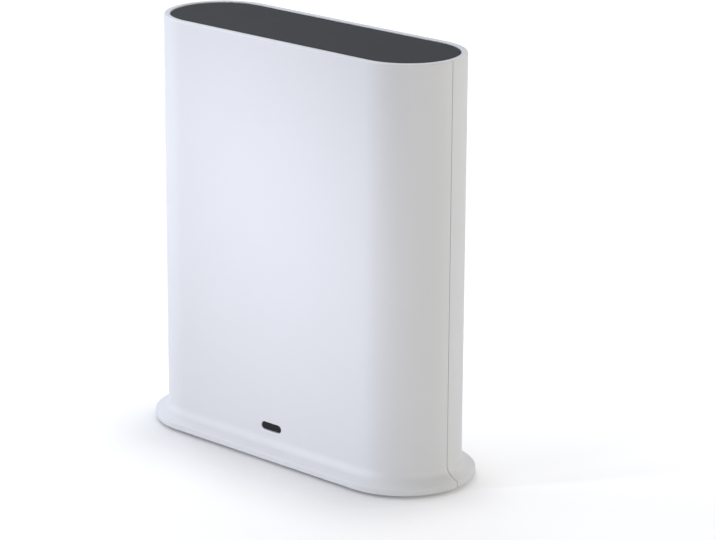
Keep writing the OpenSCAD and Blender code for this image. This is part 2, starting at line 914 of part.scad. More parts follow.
// Spring contacts that rise from the plug space's floor towards its back
module ethernet_contacts() {
    foot_y = mouth_y - eth_contact_inset;
    bend_y = foot_y - eth_contact_foot;
    tip_y = plug_back + eth_contact_stop;
    tip_z = plug_floor + eth_contact_rise;
    color("gold")
        for (i = [0 : eth_contacts_n - 1])
            translate([eth_x + (i - (eth_contacts_n - 1) / 2) * eth_contact_pitch - eth_contact_w / 2, 0, 0])
                rotate([90, 0, 90])
                    linear_extrude(eth_contact_w)
                        polygon([
                            [foot_y, plug_floor], [foot_y, plug_floor + eth_contact_t],
                            [bend_y, plug_floor + eth_contact_t], [tip_y, tip_z + eth_contact_t],
                            [tip_y, tip_z], [bend_y, plug_floor]
                        ]);
}

module usb_shell() {
    color("silver")
        difference() {
            block_y(usb_x, ports_z, [usb_w, usb_h], board_y, mouth_y);
            block_y(usb_x, ports_z, usb_inner, board_y - cut, mouth_y + cut);
        }
}

module usb_insulator() {
    color("white")
        union() {
            block_y(usb_x, ports_z, usb_inner, board_y, mouth_y - usb_depth);
            block_y(usb_x, ports_z + tongue_rise, [tongue_w, tongue_t],
                mouth_y - usb_depth, mouth_y - tongue_inset);
        }
}

module usb_contacts() {
    under = ports_z + tongue_rise - tongue_t / 2 - usb_contact_size.y / 2;
    color("gold")
        for (x = usb_contact_x)
            block_y(usb_x + x, under, [usb_contact_size.x, usb_contact_size.y],
                mouth_y - usb_depth, mouth_y - usb_depth + usb_contact_size.z);
}

module power_jack_body() {
    color([0.12, 0.12, 0.13])
        difference() {
            block_y(power_x, ports_z, [power_w, power_h], board_y, mouth_y);
            rod_y(power_x, ports_z, power_bore_r, mouth_y - power_bore_depth, mouth_y + cut);
        }
}

module power_jack_pin() {
    pin_end = mouth_y - power_pin_inset - power_pin_r;
    color("silver")
        union() {
            rod_y(power_x, ports_z, power_pin_r, mouth_y - power_bore_depth, pin_end);
            translate([power_x, pin_end, ports_z])
                sphere(power_pin_r);
        }
}

module power_jack_spring() {
    low = sqrt(pow(power_bore_r - face_fit, 2) - pow(power_spring_size.x / 2, 2));
    color("gold")
        block_y(power_x, ports_z - low + power_spring_size.y / 2,
            [power_spring_size.x, power_spring_size.y],
            mouth_y - power_bore_depth, mouth_y - power_bore_depth + power_spring_size.z);
}

module sync_button() {
    dish_r = (sync_r * sync_r + sync_dish * sync_dish) / (2 * sync_dish);
    flange_y = r_in - slide_fit;
    color("gainsboro")
        difference() {
            union() {
                rod_y(0, sync_z, sync_r, flange_y - sync_flange_w, sync_face);
                rod_y(0, sync_z, sync_flange_r, flange_y - sync_flange_w, flange_y);
                rod_y(0, sync_z, sync_stem_r, sync_seat + face_fit, flange_y);
            }
            translate([0, sync_face + dish_r - sync_dish, sync_z])
                sphere(dish_r);
        }
}

// Switch body with a round well for its plunger
module switch_body(x, z, size, plunger_r) {
    difference() {
        block_y(x, z, [size.x, size.x], board_y, board_y + size.y);
        rod_y(x, z, plunger_r + slide_fit, board_y + size.y - plunger_seat - plunger_room,
            board_y + size.y + cut);
    }
}

module sync_switch_body() {
    color([0.12, 0.12, 0.13])
        switch_body(0, sync_z, sync_switch, sync_plunger_r);
}

module sync_switch_plunger() {
    color("saddlebrown")
        rod_y(0, sync_z, sync_plunger_r, board_y + sync_switch.y - plunger_seat, sync_seat);
}

module reset_switch_body() {
    color([0.12, 0.12, 0.13])
        switch_body(reset_x, ports_z, reset_switch, reset_plunger_r);
}

module reset_switch_plunger() {
    color("saddlebrown")
        rod_y(reset_x, ports_z, reset_plunger_r, board_y + reset_switch.y - plunger_seat,
            board_y + reset_switch.z);
}

// Flat aerial board on the front wall, with its upper edge in line with the others
module antenna_board(x, size, y0, y1) {
    block_y(x, antenna_top_z - size.y / 2, size, y0, y1);
}

module antenna_left() {
    color("darkgreen")
        antenna_board(-side_x, side_antenna, antenna_y, antenna_y + side_antenna.z);
}

module antenna_right() {
    color("darkgreen")
        antenna_board(side_x, side_antenna, antenna_y, antenna_y + side_antenna.z);
}

module antenna_top() {
    color("darkgreen")
        antenna_board(0, top_antenna, antenna_y, antenna_y + top_antenna.z);
}

module antenna_tapes() {
    color("lightgray")
        union() {
            for (side = [-1, 1])
                antenna_board(side * side_x, side_antenna, -r_in, antenna_y);
            antenna_board(0, top_antenna, -r_in, antenna_y);
        }
}

// Height of a lead's solder joint on an aerial of a given height, and of its plug on the board
function lead_top(height) = antenna_top_z - height + lead_start;
function plug_z(height) = lead_top(height) - lead_drop - coax_plug.x - face_fit;

// Thin lead that leaves its aerial downwards and swings back to the board in an S
module lead(x, height) {
    rings = 16;
    sides = 8;
    z0 = lead_top(height);
    reach = lead_y1 - lead_y0;
    points = [
        for (i = [0 : rings])
            let (t = i / rings, slope = [0, reach * 6 * t * (1 - t), -lead_drop])
            let (side = [0, slope.z, -slope.y] / norm(slope))
            for (k = [0 : sides - 1])
                [x, lead_y0 + reach * t * t * (3 - 2 * t), z0 - lead_drop * t]
                + lead_r * (cos(360 * k / sides) * [1, 0, 0] + sin(360 * k / sides) * side)
    ];
    walls = [
        for (i = [0 : rings - 1], k = [0 : sides - 1])
            let (next = (k + 1) % sides)
            [i * sides + k, i * sides + next, (i + 1) * sides + next, (i + 1) * sides + k]
    ];
    ends = [
        [for (k = [sides - 1 : -1 : 0]) k],
        [for (k = [0 : sides - 1]) rings * sides + k]
    ];
    polyhedron(points, concat(walls, ends));
}

module antenna_lead_left() {
    color("dimgray")
        lead(-side_x, side_antenna.y);
}

module antenna_lead_right() {
    color("dimgray")
        lead(side_x, side_antenna.y);
}

module antenna_lead_top() {
    color("dimgray")
        lead(0, top_antenna.y);
}

// Places of the three coaxial plugs on the board
coax_places = [
    [-side_x, plug_z(side_antenna.y)],
    [side_x, plug_z(side_antenna.y)],
    [0, plug_z(top_antenna.y)]
];

module antenna_sockets() {
    color("gold")
        for (place = coax_places)
            block_y(place.x, place.y, [coax_socket.x, coax_socket.x], coax_y, front_y);
}

module antenna_plugs() {
    color("gold")
        for (place = coax_places)
            rod_y(place.x, place.y, coax_plug.x, coax_y - coax_plug.y, coax_y);
}

front_shell();
rear_shell();
top_plate();
base_plate();
foot_pad();
base_screws();
led_window();
light_pipe();
light_shroud();
status_led();
main_board();
board_screws();
processor();
memory_chips();
flash_chip();
thermal_pad();
heat_spreader();
spreader_screws();
wifi_shield_can();
radio_shield_can();
lan_transformer();
power_inductors();
bulk_capacitors();
clock_crystals();
ethernet_housing();
ethernet_shield();
ethernet_contacts();
usb_shell();
usb_insulator();
usb_contacts();
power_jack_body();
power_jack_pin();
power_jack_spring();
sync_button();
sync_switch_body();
sync_switch_plunger();
reset_switch_body();
reset_switch_plunger();
antenna_left();
antenna_right();
antenna_top();
antenna_tapes();
antenna_lead_left();
antenna_lead_right();
antenna_lead_top();
antenna_sockets();
antenna_plugs();
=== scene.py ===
import json
import math

import bmesh
import bpy
from bpy.props import FloatProperty, FloatVectorProperty, IntProperty, PointerProperty
from bpy.types import Operator, Panel, PropertyGroup
from mathutils import Matrix, Vector


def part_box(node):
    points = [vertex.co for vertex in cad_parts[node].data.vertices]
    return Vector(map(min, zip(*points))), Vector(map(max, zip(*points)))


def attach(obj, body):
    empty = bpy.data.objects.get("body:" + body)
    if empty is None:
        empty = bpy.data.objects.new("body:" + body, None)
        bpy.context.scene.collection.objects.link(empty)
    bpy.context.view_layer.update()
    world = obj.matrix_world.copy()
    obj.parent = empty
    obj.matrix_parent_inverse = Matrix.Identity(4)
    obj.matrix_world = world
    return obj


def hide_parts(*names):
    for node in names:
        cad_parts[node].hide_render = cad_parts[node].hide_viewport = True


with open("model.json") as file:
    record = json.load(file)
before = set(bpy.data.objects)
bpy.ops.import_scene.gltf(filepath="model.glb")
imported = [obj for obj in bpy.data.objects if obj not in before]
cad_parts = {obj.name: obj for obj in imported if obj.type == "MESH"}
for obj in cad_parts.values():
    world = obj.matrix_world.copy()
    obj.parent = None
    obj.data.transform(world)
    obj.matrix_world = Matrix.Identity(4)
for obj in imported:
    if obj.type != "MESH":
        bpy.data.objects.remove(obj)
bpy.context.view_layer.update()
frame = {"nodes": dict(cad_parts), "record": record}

bl_info = {
    "name": "Camera base station",
    "version": (1, 0, 0),
    "blender": (4, 5, 0),
    "location": "3D View > Sidebar > Base station",
    "description": "Models the looks of a base station for wireless cameras round its packed frame",
    "category": "Add Mesh",
}

# Corners of every node of the frame, and what the record says about finishes
BOX = {name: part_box(name) for name in frame["nodes"]}
LOW = {name: lo for name, (lo, hi) in BOX.items()}
HIGH = {name: hi for name, (lo, hi) in BOX.items()}
MIDDLE = {name: (lo + hi) / 2 for name, (lo, hi) in BOX.items()}
SLOT_COLOUR = {row["slot"]: row["base_color"] for row in frame["record"]["materials"]}
NODE_SLOT = {row["node"]: row["material_slot"] for row in frame["record"]["subparts"]}

MM = 0.001
X, Y, Z = Vector((1, 0, 0)), Vector((0, 1, 0)), Vector((0, 0, 1))
FRONT, REAR = -1, 1
QUARTERS = [(end, side) for end in (-1, 1) for side in (FRONT, REAR)]
# Distance within which corners count as level, distance within which they are welded, and the angle
# from which an edge counts as sharp
SPECK = 0.01 * MM
WELD = 0.002 * MM
SHARP = math.radians(38)
# Steps of a quarter of a round end, of a full turn, of a rounded corner and of rounded edges
END_STEPS = 24
TURN_STEPS = 48
CORNER_STEPS = 8
EDGE_STEPS = 2
SOFT_EDGE_STEPS = 3
# How far large faces lead the shading of the edges beside them
FLAT_WEIGHT = 80
# Parts of a tongue's half angle between which it joins the wall, and how far a screw's tip narrows
ROOT_START, ROOT_STOP = 0.5, 0.9
TIP_TAPER = 3


def span(label, what, length):
    """Length that a user may change, given in millimetres."""
    return FloatProperty(
        name=label, description=what, default=length * MM, min=0, precision=5, subtype="DISTANCE",
        unit="LENGTH",
    )


def angle(label, what, degrees):
    """Angle that a user may change."""
    return FloatProperty(
        name=label, description=what, default=math.radians(degrees), subtype="ANGLE", unit="ROTATION"
    )


def share(label, what, default):
    """Share from 0 to 1 that a user may change."""
    return FloatProperty(name=label, description=what, default=default, min=0, max=1, subtype="FACTOR")


def tint(label, what, slot, shade=1.0):
    """Colour that a user may change: the record's, darkened where gloss lightens it again."""
    colour = [channel * shade for channel in SLOT_COLOUR[slot]]
    return FloatVectorProperty(name=label, description=what, default=colour, min=0, max=1, subtype="COLOR")


class CaseSizes(PropertyGroup):
    """Sizes of the two halves of the case"""

    end_reach: span(
        "End reach", "Distance of the round ends' centres from the middle",
        (HIGH["front_shell"].x + LOW["front_shell"].y) / MM,
    )
    body_radius: span("Body radius", "Radius of the round ends", HIGH["base_plate"].y / MM)
    inner_radius: span("Inner radius", "Radius inside the wall", -LOW["antenna_tapes"].y / MM)
    foot_radius: span("Foot radius", "Radius of the foot's lip", -LOW["front_shell"].y / MM)
    height: span("Height", "Height of the rim above the table", HIGH["front_shell"].z / MM)
    foot_gap: span("Foot gap", "Height of the lip's lower face above the table", LOW["front_shell"].z / MM)
    seam: span("Seam", "Gap between the two halves", -2 * HIGH["front_shell"].y / MM)
    lip_height: span("Lip height", "Height of the foot's upright lip", 1.95)
    lip_round: span("Lip rounding", "Radius of the lip's edges", 0.4)
    flare_radius: span("Flare radius", "Radius of the hollow above the foot", 3.3)
    flare_slope: angle("Flare slope", "Slope of the foot's upper face", 27)
    rim_round: span("Rim rounding", "Radius of the rim's outer edge", 0.5)
    rim_edge: span("Rim edge", "Radius of the rim's inner edge", 0.2)
    ledge_width: span("Ledge width", "Width of the ledge under the lid", 1.4)
    ledge_thickness: span("Ledge thickness", "Thickness of the ledge under the lid", 1.6)
    edge: span("Edges", "Rounding of seam edges and cut edges", 0.08)
    fit: span("Fit", "Gap round plates that are let in", 0.15)


class InsideSizes(PropertyGroup):
    """Sizes of the posts and tongues inside the case"""

    boss_radius: span("Boss radius", "Radius of the bosses for the sole's screws", 3)
    boss_height: span("Boss height", "Height of those bosses", 9)
    boss_hole: span("Boss hole", "Radius of the screw holes", 1.2)
    collar_wall: span("Collar wall", "Wall of the collar round the sync button", 1.2)
    collar_length: span("Collar length", "Length of that collar", 5)
    tube_wall: span("Pin tube wall", "Wall of the tube behind the reset pinhole", 1.2)
    tube_room: span("Pin tube room", "Room between that tube and its switch", 0.6)
    tongue: span("Tongue", "Thickness of the tongues behind the seam", 1)
    tongue_angle: angle("Tongue angle", "Half angle of those tongues", 8)
    root: span("Root", "How far posts reach into the wall", 0.5)


class LidSizes(PropertyGroup):
    """Sizes of the charcoal lid"""

    thickness: span("Thickness", "Thickness of the lid", 2)
    edge: span("Edge", "Rounding of the lid's edge", 0.25)
    leg_place: span("Leg place", "Distance of the snap legs from the middle", 18)
    leg_width: span("Leg width", "Width of a snap leg", 8)
    leg_thickness: span("Leg thickness", "Thickness of a snap leg", 1.2)


class SoleSizes(PropertyGroup):
    """Sizes of the plate, ring and screws under the case"""

    thickness: span("Thickness", "Thickness of the sole plate", 2.2)
    rib_inset: span("Rib inset", "Distance of the locating rib from the plate's edge", 2.15)
    rib_width: span("Rib width", "Width of the locating rib", 1)
    groove_depth: span("Groove depth", "Depth of the groove for the rubber ring", 0.8)
    ring_width: span("Ring width", "Width of the rubber ring", 2.6)
    ring_round: span("Ring rounding", "Radius of the rubber ring's lower edges", 0.35)
    vent_count: IntProperty(name="Vents", description="Number of vent slots in the sole", default=9, min=1)
    vent_length: span("Vent length", "Length of a vent slot", 12)
    vent_width: span("Vent width", "Width of a vent slot", 2)
    vent_pitch: span("Vent pitch", "Spacing of the vent slots", 6)
    head_radius: span("Head radius", "Radius of the screw heads", 2.3)
    head_height: span("Head height", "Height of the screw heads", 0.9)
    head_round: span("Head rounding", "Radius of the screw heads' edges", 0.35)
    head_room: span("Head room", "Gap round the screw heads", 0.2)
    shank_radius: span("Shank radius", "Radius of the screws", 1.15)
    slot_width: span("Slot width", "Width of the cross slots", 0.6)
    slot_depth: span("Slot depth", "Depth of the cross slots", 0.45)
    slot_reach: span("Slot reach", "Half length of the cross slots", 1.6)
    edge: span("Edges", "Rounding of the plate's edges", 0.15)


class RearSizes(PropertyGroup):
    """Sizes of what is cut into the rear half of the case"""

    panel_width: span("Panel width", "Width of the recessed panel round the sockets", 62)
    panel_height: span("Panel height", "Height of that panel", 17)
    panel_depth: span("Panel depth", "Depth of that panel", 0.6)
    panel_corner: span("Panel corner", "Corner radius of that panel", 3)
    socket_fit: span("Socket fit", "Gap round the sockets and the lens", 0.25)
    vent_count: IntProperty(name="Vents", description="Number of rear vent slots", default=13, min=1)
    vent_width: span("Vent width", "Width of a rear vent slot", 1.6)
    vent_length: span("Vent length", "Length of a rear vent slot", 16)
    vent_pitch: span("Vent pitch", "Spacing of the rear vent slots", 4.6)
    vent_drop: span("Vent drop", "Distance of the vents' middles below the rim", 24)
    pinhole: span("Pinhole", "Radius of the reset pinhole", 0.9)


class LensSizes(PropertyGroup):
    """Sizes of the status lens"""

    flange: span("Flange", "Width of the flange behind the wall", 1.1)
    flange_thickness: span("Flange thickness", "Thickness of that flange", 0.8)
    edge: span("Edge", "Rounding of the lens's front edge", 0.2)


class SocketSizes(PropertyGroup):
    """Sizes of the sockets in the back"""

    sheet: span("Sheet", "Thickness of the metal shields", 0.3)
    fold: span("Fold", "Outer radius of the folds in the metal", 0.6)
    plug_width: span("Plug width", "Width of the network plug's space", 11.9)
    plug_height: span("Plug height", "Height of that space", 7)
    plug_depth: span("Plug depth", "Depth of that space", 12.6)
    plug_floor: span("Plug floor", "Height of that space above the socket's lower face", 2.2)
    latch_width: span("Latch width", "Width of the latch notch", 6.2)
    latch_height: span("Latch height", "Height of the latch notch", 2.3)
    usb_depth: span("USB depth", "Depth of the USB plug's space", 9.2)
    tongue_width: span("Tongue width", "Width of the USB tongue", 11.1)
    tongue_thickness: span("Tongue thickness", "Thickness of the USB tongue", 1.85)
    tongue_rise: span("Tongue rise", "Height of the tongue above the socket's middle", 1.1)
    bore_radius: span("Bore radius", "Radius of the power socket's bore", 3.05)
    bore_depth: span("Bore depth", "Depth of the power socket's bore", 10.5)
    bore_lead: span("Bore lead-in", "Width of the slope at the bore's mouth", 0.4)
    edge: span("Edges", "Rounding of the sockets' edges", 0.12)


class ButtonSizes(PropertyGroup):
    """Sizes of the sync button"""

    radius: span("Radius", "Radius of the button", 5)
    hole_gap: span("Hole gap", "Gap between the button and its hole", 0.2)
    dish: span("Dish", "Depth of the finger hollow", 0.35)
    edge: span("Edge", "Rounding of the button's edge", 0.3)
    flange_thickness: span("Flange", "Thickness of the flange that keeps the button in", 1.2)
    stem_radius: span("Stem radius", "Radius of the button's stem", 2)


class FinishColours(PropertyGroup):
    """Colours of the pieces that show"""

    white_case: tint("Case", "Satin white of the case", "white_case", 0.88)
    charcoal_plate: tint("Lid", "Charcoal of the lid", "charcoal_plate", 0.5)
    base_plastic: tint("Sole", "Grey of the sole plate", "base_plastic")
    rubber_pad: tint("Ring", "Black of the rubber ring", "rubber_pad")
    smoked_lens: tint("Lens", "Smoke tint of the status lens", "smoked_lens", 0.7)
    button_plastic: tint("Button", "Pale grey of the sync button", "button_plastic", 0.88)
    tin_plate: tint("Metal", "Grey of the sockets' metal shields", "tin_plate", 0.7)


class StudioSizes(PropertyGroup):
    """Camera and light of the studio, and the shadow painted on the floor round the foot"""

    azimuth: angle("Azimuth", "Direction of the camera round the station", 42.484)
    elevation: angle("Elevation", "Height of the camera above the horizon", 17.07)
    roll: angle("Roll", "Roll of the camera", 0.322)
    distance: span("Distance", "Distance of the camera from the station's middle", 928.516)
    shift_right: FloatProperty(
        name="Right", description="Place of the camera to the right", default=14.104 * MM, unit="LENGTH"
    )
    shift_up: FloatProperty(
        name="Up", description="Place of the camera upwards", default=-8.795 * MM, unit="LENGTH"
    )
    lens: FloatProperty(name="Lens", description="Focal length of the camera", default=153.04, unit="CAMERA")
    floor: span("Floor", "Width of the floor", 12000)
    shade: share("Floor shade", "Paleness of the floor", 0.79)
    # The floor's glow, which only the camera sees, fades out round the foot and furthest in front: the
    # darker floor there is a painted shadow, not one cast by the lights
    shade_front: span("Shade place", "Distance of the floor's shade in front of the station", 11)
    shade_share: share("Shade share", "Length of the shade's core", 0.9)
    glow_start: span("Glow start", "Distance inside the shade's edge at which the floor lightens", 26)
    glow_end: span("Glow end", "Distance from the shade's edge at which the floor is lightest", 26)
    glow: share("Glow", "Strength of the white that the floor turns to", 0.335)
    world: share("Surround", "Strength of the light from all round", 0.163)


# Modelling by hand: selection, tracing, spinning and finishing

def activate(piece):
    """Selects one piece and nothing else."""
    if bpy.context.mode != "OBJECT":
        bpy.ops.object.mode_set(mode="OBJECT")
    bpy.ops.object.select_all(action="DESELECT")
    piece.select_set(True)
    bpy.context.view_layer.objects.active = piece


def begin(add, **options):
    """Adds a primitive at its size and place and opens it for editing, with all of it selected."""
    if bpy.context.mode != "OBJECT":
        bpy.ops.object.mode_set(mode="OBJECT")
    bpy.ops.object.select_all(action="DESELECT")
    add(**options)
    bpy.ops.object.transform_apply(location=True, rotation=True, scale=True)
    bpy.ops.object.mode_set(mode="EDIT")
    bpy.ops.mesh.select_mode(type="VERT")
    bpy.ops.mesh.select_all(action="SELECT")
    return bpy.context.object


def trace(points):
    """Draws a line through points, starting from a plane that is shrunk to one corner."""
    points = [Vector(point) for point in points]
    piece = begin(bpy.ops.mesh.primitive_plane_add, size=SPECK, location=points[0])
    bpy.ops.mesh.merge(type="CENTER")
    for here, there in zip(points, points[1:]):
        bpy.ops.mesh.extrude_vertices_move(TRANSFORM_OT_translate={"value": there - here})
    return piece


def fill():
    """Closes all that is drawn with one face."""
    bpy.ops.mesh.select_all(action="SELECT")
    bpy.ops.mesh.edge_face_add()


def extrude(move):
    """Extrudes what is selected, faces or a single corner."""
    bpy.ops.mesh.extrude_region_move(TRANSFORM_OT_translate={"value": move})


def spin(turn, centre, axis, steps):
    """Spins what is selected. With no window Blender turns it the other way, so the sign is changed."""
    bpy.ops.mesh.spin(steps=steps, angle=-turn, center=centre, axis=axis)


def seal():
    """Welds a finished mesh, turns its faces outwards and closes editing."""
    bpy.ops.mesh.select_all(action="SELECT")
    bpy.ops.mesh.remove_doubles(threshold=WELD)
    bpy.ops.mesh.normals_make_consistent(inside=False)
    bpy.ops.object.mode_set(mode="OBJECT")


def pick(piece, kind, test):
    """Selects only the corners, edges or faces of an open mesh whose corners pass a test together."""
    bpy.ops.mesh.select_mode(type=kind)
    bpy.ops.mesh.select_all(action="DESELECT")
    shape = bmesh.from_edit_mesh(piece.data)
    parts = {"VERT": shape.verts, "EDGE": shape.edges, "FACE": shape.faces}[kind]
    for part in parts:
        corners = [part.co] if kind == "VERT" else [corner.co for corner in part.verts]
        if test(corners):
            part.select_set(True)
    bmesh.update_edit_mesh(piece.data)


def along(axis):
    """Test for an edge that runs along an axis."""
    return lambda ends: (ends[1] - ends[0]).cross(axis).length < SPECK


def level(axis, place):
    """Test for corners that all lie at one place along an axis."""
    return lambda corners: all(abs(corner.dot(axis) - place) < SPECK for corner in corners)


def arc(centre, radius, start, stop, steps=CORNER_STEPS):
    """Points of an arc in a section, from one angle to another in degrees."""
    turns = [math.radians(start + (stop - start) * step / steps) for step in range(steps + 1)]
    return [(centre[0] + radius * math.cos(turn), centre[1] + radius * math.sin(turn)) for turn in turns]


def apply(piece, kind, **settings):
    """Adds a modifier with its settings and applies it."""
    activate(piece)
    modifier = piece.modifiers.new(kind.lower(), kind)
    for name, value in settings.items():
        setattr(modifier, name, value)
    bpy.ops.object.modifier_apply(modifier=modifier.name)


def combine(piece, tool, operation):
    """Cuts a tool out of a piece or joins it on, and puts the tool away."""
    apply(piece, "BOOLEAN", operation=operation, solver="EXACT", object=tool)
    bpy.data.objects.remove(tool)


def round_edges(piece, width, segments=EDGE_STEPS):
    """Rounds every sharp edge of a piece."""
    apply(
        piece, "BEVEL", width=width, segments=segments, limit_method="ANGLE", angle_limit=SHARP,
        use_clamp_overlap=False, miter_outer="MITER_ARC",
    )


def smooth(piece):
    """Smooths the round faces and keeps the flat ones flat."""
    activate(piece)
    bpy.ops.object.shade_smooth_by_angle(angle=SHARP)
    apply(piece, "WEIGHTED_NORMAL", keep_sharp=True, weight=FLAT_WEIGHT)


def rounded_box(lo, hi, radius=0, axis=Y):
    """Box between two corners, with the edges along one axis rounded."""
    lo, hi = Vector(lo), Vector(hi)
    piece = begin(bpy.ops.mesh.primitive_cube_add, size=1, location=(lo + hi) / 2, scale=hi - lo)
    if radius:
        pick(piece, "EDGE", along(axis))
        bpy.ops.mesh.bevel(offset=radius, segments=CORNER_STEPS, affect="EDGES")
    seal()
    return piece


def around(lo, hi, gap):
    """Corners of a box grown sideways and upwards by a gap, with its depth kept."""
    grow = Vector((gap, 0, gap))
    return lo - grow, hi + grow


def axle(node):
    """Point on the axis along Y through the middle of a node."""
    return Vector((MIDDLE[node].x, 0, MIDDLE[node].z))


def turned(profile, centre, axis):
    """Solid of revolution from a profile of radius and place along an axis through a centre."""
    centre = Vector(centre)
    piece = trace([centre + X * radius + axis * place for radius, place in profile])
    bpy.ops.mesh.select_all(action="SELECT")
    spin(2 * math.pi, centre, axis, TURN_STEPS)
    seal()
    return piece


def tube(hole, radius, start, stop, centre, axis):
    """Round tube along an axis."""
    profile = [(hole, start), (radius, start), (radius, stop), (hole, stop), (hole, start)]
    return turned(profile, centre, axis)


def prism(points, move):
    """Solid made by extruding an outline."""
    piece = trace(points)
    fill()
    extrude(move)
    seal()
    return piece


def ring_piece(centre_x, radii, heights, start, turn):
    """Part of an upright ring round one end of the case."""
    ray = Vector((math.cos(start), math.sin(start), 0))
    centre = X * centre_x
    corners = [(0, 0), (1, 0), (1, 1), (0, 1)]
    piece = trace([centre + ray * radii[a] + Z * heights[b] for a, b in corners])
    fill()
    spin(turn, centre, Z, CORNER_STEPS)
    seal()
    return piece


def go_round(case, quarters, closed=False):
    """Takes what is selected round one end of the plan, along its straight stretch and round the other."""
    for end in (1, -1):
        spin(quarters * math.pi / 2, X * end * case.end_reach, Z, abs(quarters) * END_STEPS)
        if end > 0 or closed:
            extrude(-2 * X * end * case.end_reach)


def plan_face(case, radius, height):
    """Level face with the plan of the station: two round ends and a straight stretch."""
    piece = trace([(case.end_reach, -radius, height)])
    go_round(case, 2)
    fill()
    return piece


def plan_loop(case, section):
    """Closed ring round the plan of the station, from a section of distance and height."""
    piece = trace([(case.end_reach, -distance, height) for distance, height in section + section[:1]])
    bpy.ops.mesh.select_all(action="SELECT")
    go_round(case, 2, closed=True)
    seal()
    return piece


def vent_row(sizes, start, stop, axis, length):
    """Tool for a row of vent slots that run through from a start to a stop, long in one direction."""
    first = X * (-(sizes.vent_count - 1) / 2 * sizes.vent_pitch)
    half = X * (sizes.vent_width / 2) + length * (sizes.vent_length / 2)
    vents = rounded_box(first + start - half, first + stop + half, sizes.vent_width / 2, axis)
    apply(
        vents, "ARRAY", count=sizes.vent_count, use_relative_offset=False, use_constant_offset=True,
        constant_offset_displace=X * sizes.vent_pitch,
    )
    return vents


def folded_sheet(lo, hi, size, *ends):
    """Box of folded metal, open at the given places along Y."""
    piece = rounded_box(lo, hi, size.fold)
    bpy.ops.object.mode_set(mode="EDIT")
    pick(piece, "FACE", lambda corners: any(level(Y, end)(corners) for end in ends))
    bpy.ops.mesh.delete(type="FACE")
    bpy.ops.object.mode_set(mode="OBJECT")
    apply(piece, "SOLIDIFY", thickness=size.sheet, offset=-1, use_even_offset=True)
    return piece


# Finishes

# Moulded grain: scale of its broad mottling beside its fine grain, detail of both, their shares in the
# gloss, and the height of the grain
BROAD_SCALE = 0.03
FINE_DETAIL, BROAD_DETAIL = 2.0, 3.0
FINE_GLOSS, BROAD_GLOSS = 0.4, 0.6
GRAIN_HEIGHT = 0.05 * MM
# Tracks of the circuit board: how close they lie, their bends, where they start, their paleness and
# height, and the roughness of the mask over them
TRACK_CELLS = 260
TRACK_BENDS = 30.0
TRACK_START = 0.55
TRACK_PALENESS = 1.9
TRACK_HEIGHT = 0.03 * MM
TRACK_BUMP = 0.2
MASK_ROUGHNESS, MASK_SPREAD = 0.35, 0.1


def put(tree, socket, value):
    """Sets an input socket to a value, or joins an output socket to it."""
    if isinstance(value, bpy.types.NodeSocket):
        tree.links.new(value, socket)
    else:
        socket.default_value = value


def feed(tree, node, **inputs):
    """Sets or joins the inputs of a node, named in lower case with underscores."""
    sockets = {socket.name.lower().replace(" ", "_"): socket for socket in reversed(node.inputs)}
    for name, value in inputs.items():
        put(tree, sockets[name], value)


def add(tree, kind, **inputs):
    """Adds a shader node with its inputs, and gives its first output."""
    made = tree.nodes.new(kind)
    feed(tree, made, **inputs)
    return made.outputs[0]


def sum_node(tree, operation, *values):
    """Adds a Math node with numbers or sockets as its values, and gives its output."""
    made = tree.nodes.new("ShaderNodeMath")
    made.operation = operation
    for socket, value in zip(made.inputs, values):
        put(tree, socket, value)
    return made.outputs[0]


def swing(tree, value, middle, width):
    """Spreads a value from 0 to 1 evenly round a middle."""
    start = sum_node(tree, "MULTIPLY_ADD", width, -0.5, middle)
    return sum_node(tree, "MULTIPLY_ADD", value, width, start)


def object_place(tree):
    """Object coordinates, which every pattern is laid on."""
    return tree.nodes.new("ShaderNodeTexCoord").outputs["Object"]


def surface_grain():
    """Node group for a fine surface: slight mottling, uneven gloss and the height of its grain."""
    group = bpy.data.node_groups.get("surface_grain")
    if group:
        return group
    group = bpy.data.node_groups.new("surface_grain", "ShaderNodeTree")
    for way, names in (
        ("INPUT", ("Colour", "Mottle", "Roughness", "Spread", "Fineness", "Stretch")),
        ("OUTPUT", ("Colour", "Roughness", "Height")),
    ):
        for name in names:
            kind = {"Colour": "NodeSocketColor", "Stretch": "NodeSocketVector"}.get(name, "NodeSocketFloat")
            group.interface.new_socket(name, in_out=way, socket_type=kind)
    given = group.nodes.new("NodeGroupInput").outputs
    place = add(group, "ShaderNodeMapping", vector=object_place(group), scale=given["Stretch"])
    fine = add(group, "ShaderNodeTexNoise", vector=place, scale=given["Fineness"], detail=FINE_DETAIL)
    scale = sum_node(group, "MULTIPLY", given["Fineness"], BROAD_SCALE)
    broad = add(group, "ShaderNodeTexNoise", vector=place, scale=scale, detail=BROAD_DETAIL)
    tone = swing(group, broad, 1.0, given["Mottle"])
    colour = add(group, "ShaderNodeHueSaturation", value=tone, color=given["Colour"])
    uneven = sum_node(group, "MULTIPLY", broad, BROAD_GLOSS)
    uneven = sum_node(group, "MULTIPLY_ADD", fine, FINE_GLOSS, uneven)
    gloss = swing(group, uneven, given["Roughness"], given["Spread"])
    feed(group, group.nodes.new("NodeGroupOutput"), colour=colour, roughness=gloss, height=fine)
    return group


def new_finish(slot):
    """Empty material with its node tree, Principled shader and output."""
    material = bpy.data.materials.new(slot)
    material.use_nodes = True
    tree = material.node_tree
    tree.nodes.clear()
    shader = tree.nodes.new("ShaderNodeBsdfPrincipled")
    feed(tree, tree.nodes.new("ShaderNodeOutputMaterial"), surface=shader.outputs[0])
    return material, tree, shader


def colour_of(slot):
    """Colour of a finish: the user's where there is one, or else the record's."""
    colours = bpy.context.scene.finish_colours
    return tuple(getattr(colours, slot, SLOT_COLOUR[slot]))


